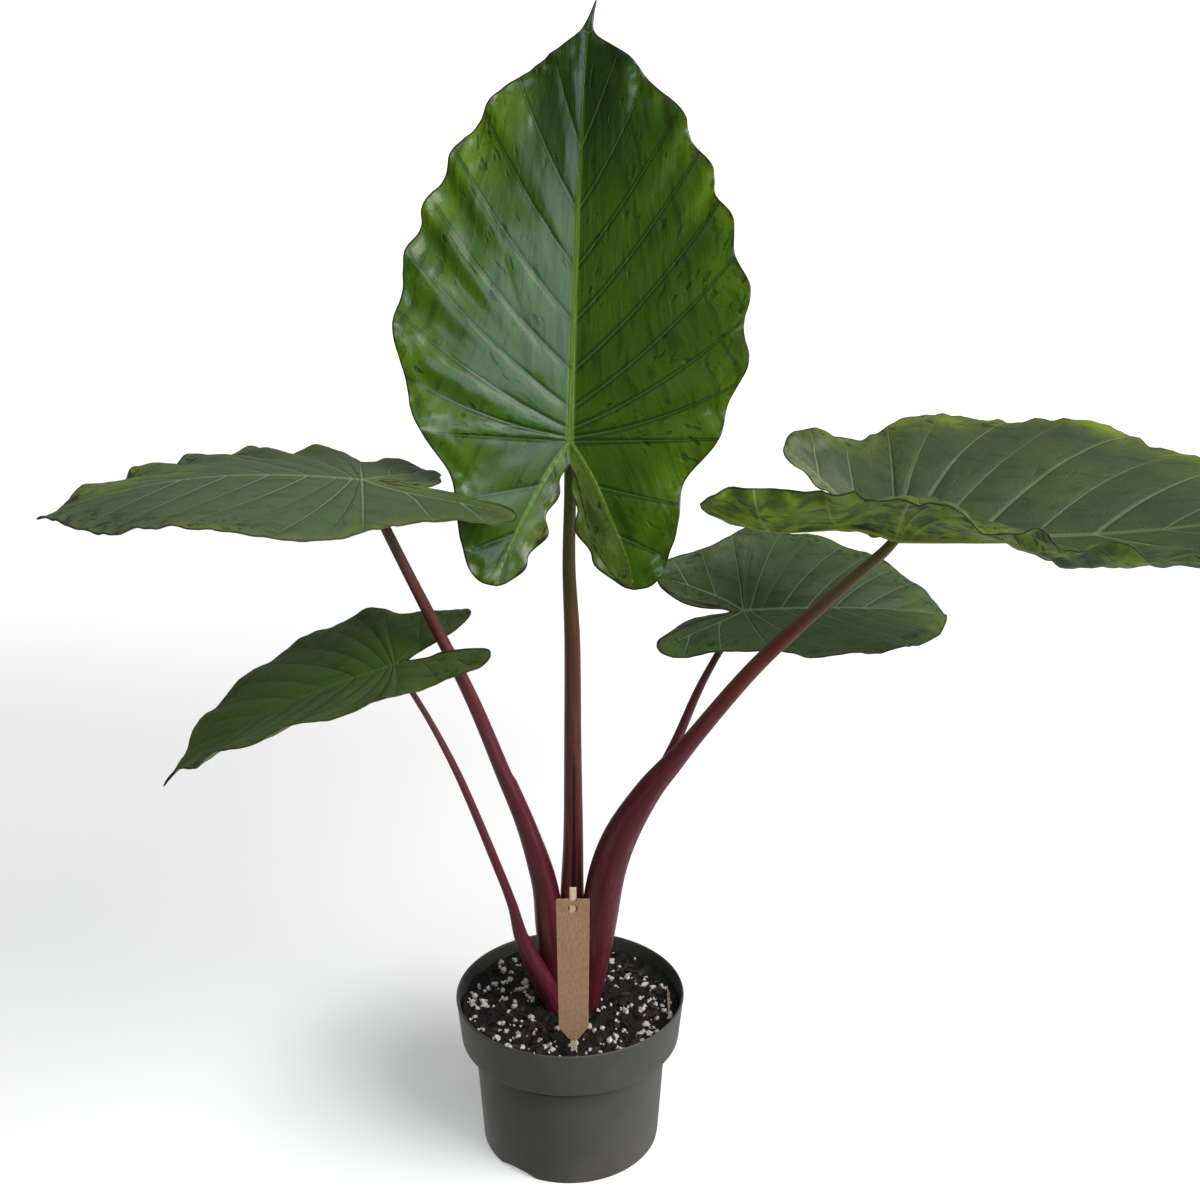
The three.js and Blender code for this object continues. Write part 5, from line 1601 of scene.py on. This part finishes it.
def card_material():
    paint = Paint("card_kraft")
    pulp = paint.noise(paint.place((1, 1, 0.35)), 900, 5, 0.65)
    fibre = paint.noise(paint.place((1, 1, 0.12)), 1500, 3, 0.6, 0.6)
    paint.tone = paint.mix(paint.fade(pulp, 0.35, 0.65), (172, 131, 100), (192, 152, 118))
    paint.cover(paint.fade(paint.noise(paint.place(), 60, 3, 0.5), 0.4, 0.7, 0, 0.2), (162, 122, 92))
    paint.cover(paint.fade(fibre, 0.62, 0.72, 0, 0.3), (196, 166, 136))
    paint.cover(paint.fade(fibre, 0.28, 0.38, 0.22, 0), (104, 74, 52))
    return paint.finish(roughness=0.82, normal=paint.bump(pulp, 0.1, paint.bump(fibre, 0.05)))


def stick_mesh(material):
    width, depth, height = STICK_SIZE
    behind = TAG_Y + TAG_THICKNESS / 2 + STICK_GAP + depth / 2
    place = Matrix.Translation(Vector((TAG_X, behind, STICK_TOP - height / 2)) * MM)
    size = Matrix.Diagonal((width * MM, depth * MM, height * MM, 1))
    built = bmesh.new()
    bmesh.ops.create_cube(built, size=1, matrix=place @ size)
    bmesh.ops.bevel(
        built, geom=list(built.edges), offset=STICK_BEVEL * MM, segments=STICK_BEVEL_STEPS,
        profile=STICK_BEVEL_ROUND, affect="EDGES",
    )
    mesh = dress(mesh_from(built, "wood_stick"), material)
    mesh.set_sharp_from_angle(angle=math.radians(STICK_SHARP))
    return mesh


stick_wood = grained(
    "stick_wood", (226, 196, 166), (246, 226, 202), 0.6, (1400, 4, 0.6, 0.3), 0.1, (1, 1, 0.04),
)
add_piece("card_tag", tag_mesh(card_material()), "plant_tag")
add_piece("wood_stick", stick_mesh(stick_wood), "tag_stick")


# Round floor that curves up into a backdrop on all sides. Only the camera sees it, so that white ground
# doesn't wash out the plant's deep colours.
FLOOR_RADII = (300, 800, 1500)
CURVE_RADIUS = 1200
CURVE_STEPS = 24
WALL_TOP = 4500
STAGE_SEGMENTS = 96
STAGE_GREY = 0.86
FLOOR_GLOW = 0.34
RIGHT_GLOW = 0.1
FRONT_GLOW = 0.06
FAR_GLOW = 0.2
WALL_GLOW = 0.9
POT_SHADE = 0.24
SHADE_PLACE = (-0.1, 0.07, 0)


def stage_material():
    """A white that glows with painted light: less on the floor near the pot, where the dip is a painted
    shadow, more to the right, far away and up the wall.
    """
    paint = Paint("backdrop")
    place = paint.place()
    across, depth, height = paint.axes(place)
    glow = paint.plus(paint.fade(across, -0.5, 0.2, 0, RIGHT_GLOW), FLOOR_GLOW)
    glow = paint.plus(glow, paint.fade(depth, -0.1, 0.3, FRONT_GLOW, 0))
    glow = paint.plus(glow, paint.fade(depth, 0.7, 1.5, 0, FAR_GLOW))
    # Painted shadow: the glow dips beside the pot's left foot.
    from_shade = paint.node("ShaderNodeVectorMath", {0: place, 1: SHADE_PLACE}, operation="DISTANCE")
    glow = paint.math("SUBTRACT", glow, paint.fade(from_shade.outputs["Value"], 0.02, 0.2, POT_SHADE, 0))
    paint.tone = (STAGE_GREY, STAGE_GREY, STAGE_GREY, 1)
    paint.material.cycles.emission_sampling = "NONE"
    glow = paint.fade(height, 0.0, 0.6, glow, WALL_GLOW)
    return paint.finish(roughness=0.9, specular=0.1, glow_tone=(1, 1, 1, 1), glow=glow)


def stage_mesh(material):
    line = [(radius, 0) for radius in (0, *FLOOR_RADII)]
    for step in range(1, CURVE_STEPS + 1):
        angle = math.radians(90 * step / CURVE_STEPS)
        line.append((FLOOR_RADII[-1] + CURVE_RADIUS * math.sin(angle), CURVE_RADIUS * (1 - math.cos(angle))))
    line.append((FLOOR_RADII[-1] + CURVE_RADIUS, WALL_TOP))
    return new_mesh("backdrop", *lathe(line, STAGE_SEGMENTS), material)


backdrop = new_object("backdrop", stage_mesh(stage_material()))
backdrop.visible_diffuse = False
backdrop.visible_glossy = False
backdrop.visible_transmission = False
backdrop.visible_shadow = False

# Room light: dim in front, brighter behind, above and from the floor
FRONT_LIGHT = 0.08
BACK_LIGHT = 0.26
TOP_LIGHT = 0.56
FLOOR_LIGHT = 0.46
RIGHT_LIGHT = 0.3

# Each part of the room light: an axis, the reach along it, and the brightness at both ends
ROOM_PARTS = [
    ("Y", -0.5, 0.5, FRONT_LIGHT, BACK_LIGHT), ("Z", 0.45, 0.95, 0, TOP_LIGHT - BACK_LIGHT),
    ("Z", -0.5, -0.05, FLOOR_LIGHT - FRONT_LIGHT, 0), ("X", 0.5, 1.0, 0, RIGHT_LIGHT),
]

world = bpy.data.worlds.new("studio")
world.use_nodes = True
sky = Nodes(world.node_tree)
sky_axes = sky.axes(sky.node("ShaderNodeTexCoord", {}).outputs["Generated"])
brightness = 0.0
for axis, *reach in ROOM_PARTS:
    brightness = sky.plus(brightness, sky.fade(sky_axes[axis], *reach))
background = sky.tree.nodes["Background"].inputs
sky.set(background["Color"], (1, 1, 1, 1))
sky.set(background["Strength"], brightness)
scene.world = world

LIGHT_TARGET = (0, 0, 420)
LIGHT_DISTANCE = 2300


def area_light(name, azimuth, elevation, size, power, tint):
    """A softbox. Azimuth 0 is at the camera's side, and it turns towards the right."""
    data = bpy.data.lights.new(name, "AREA")
    data.shape = "RECTANGLE"
    data.size, data.size_y = size[0] * MM, size[1] * MM
    data.energy = power
    data.color = tint
    light = new_object(name, data)
    turn, rise = math.radians(azimuth), math.radians(elevation)
    away = Vector((math.sin(turn) * math.cos(rise), -math.cos(turn) * math.cos(rise), math.sin(rise)))
    light.location = (Vector(LIGHT_TARGET) + away * LIGHT_DISTANCE) * MM
    light.rotation_euler = away.to_track_quat("Z", "Y").to_euler()


area_light("key", 59, 34, (1800, 1800), 57, (1, 0.99, 0.975))
area_light("sheen", 16, 36.5, (1000, 690), 6.5, (0.68, 0.85, 1))

scene.view_settings.view_transform = "Standard"
scene.view_settings.look = "None"
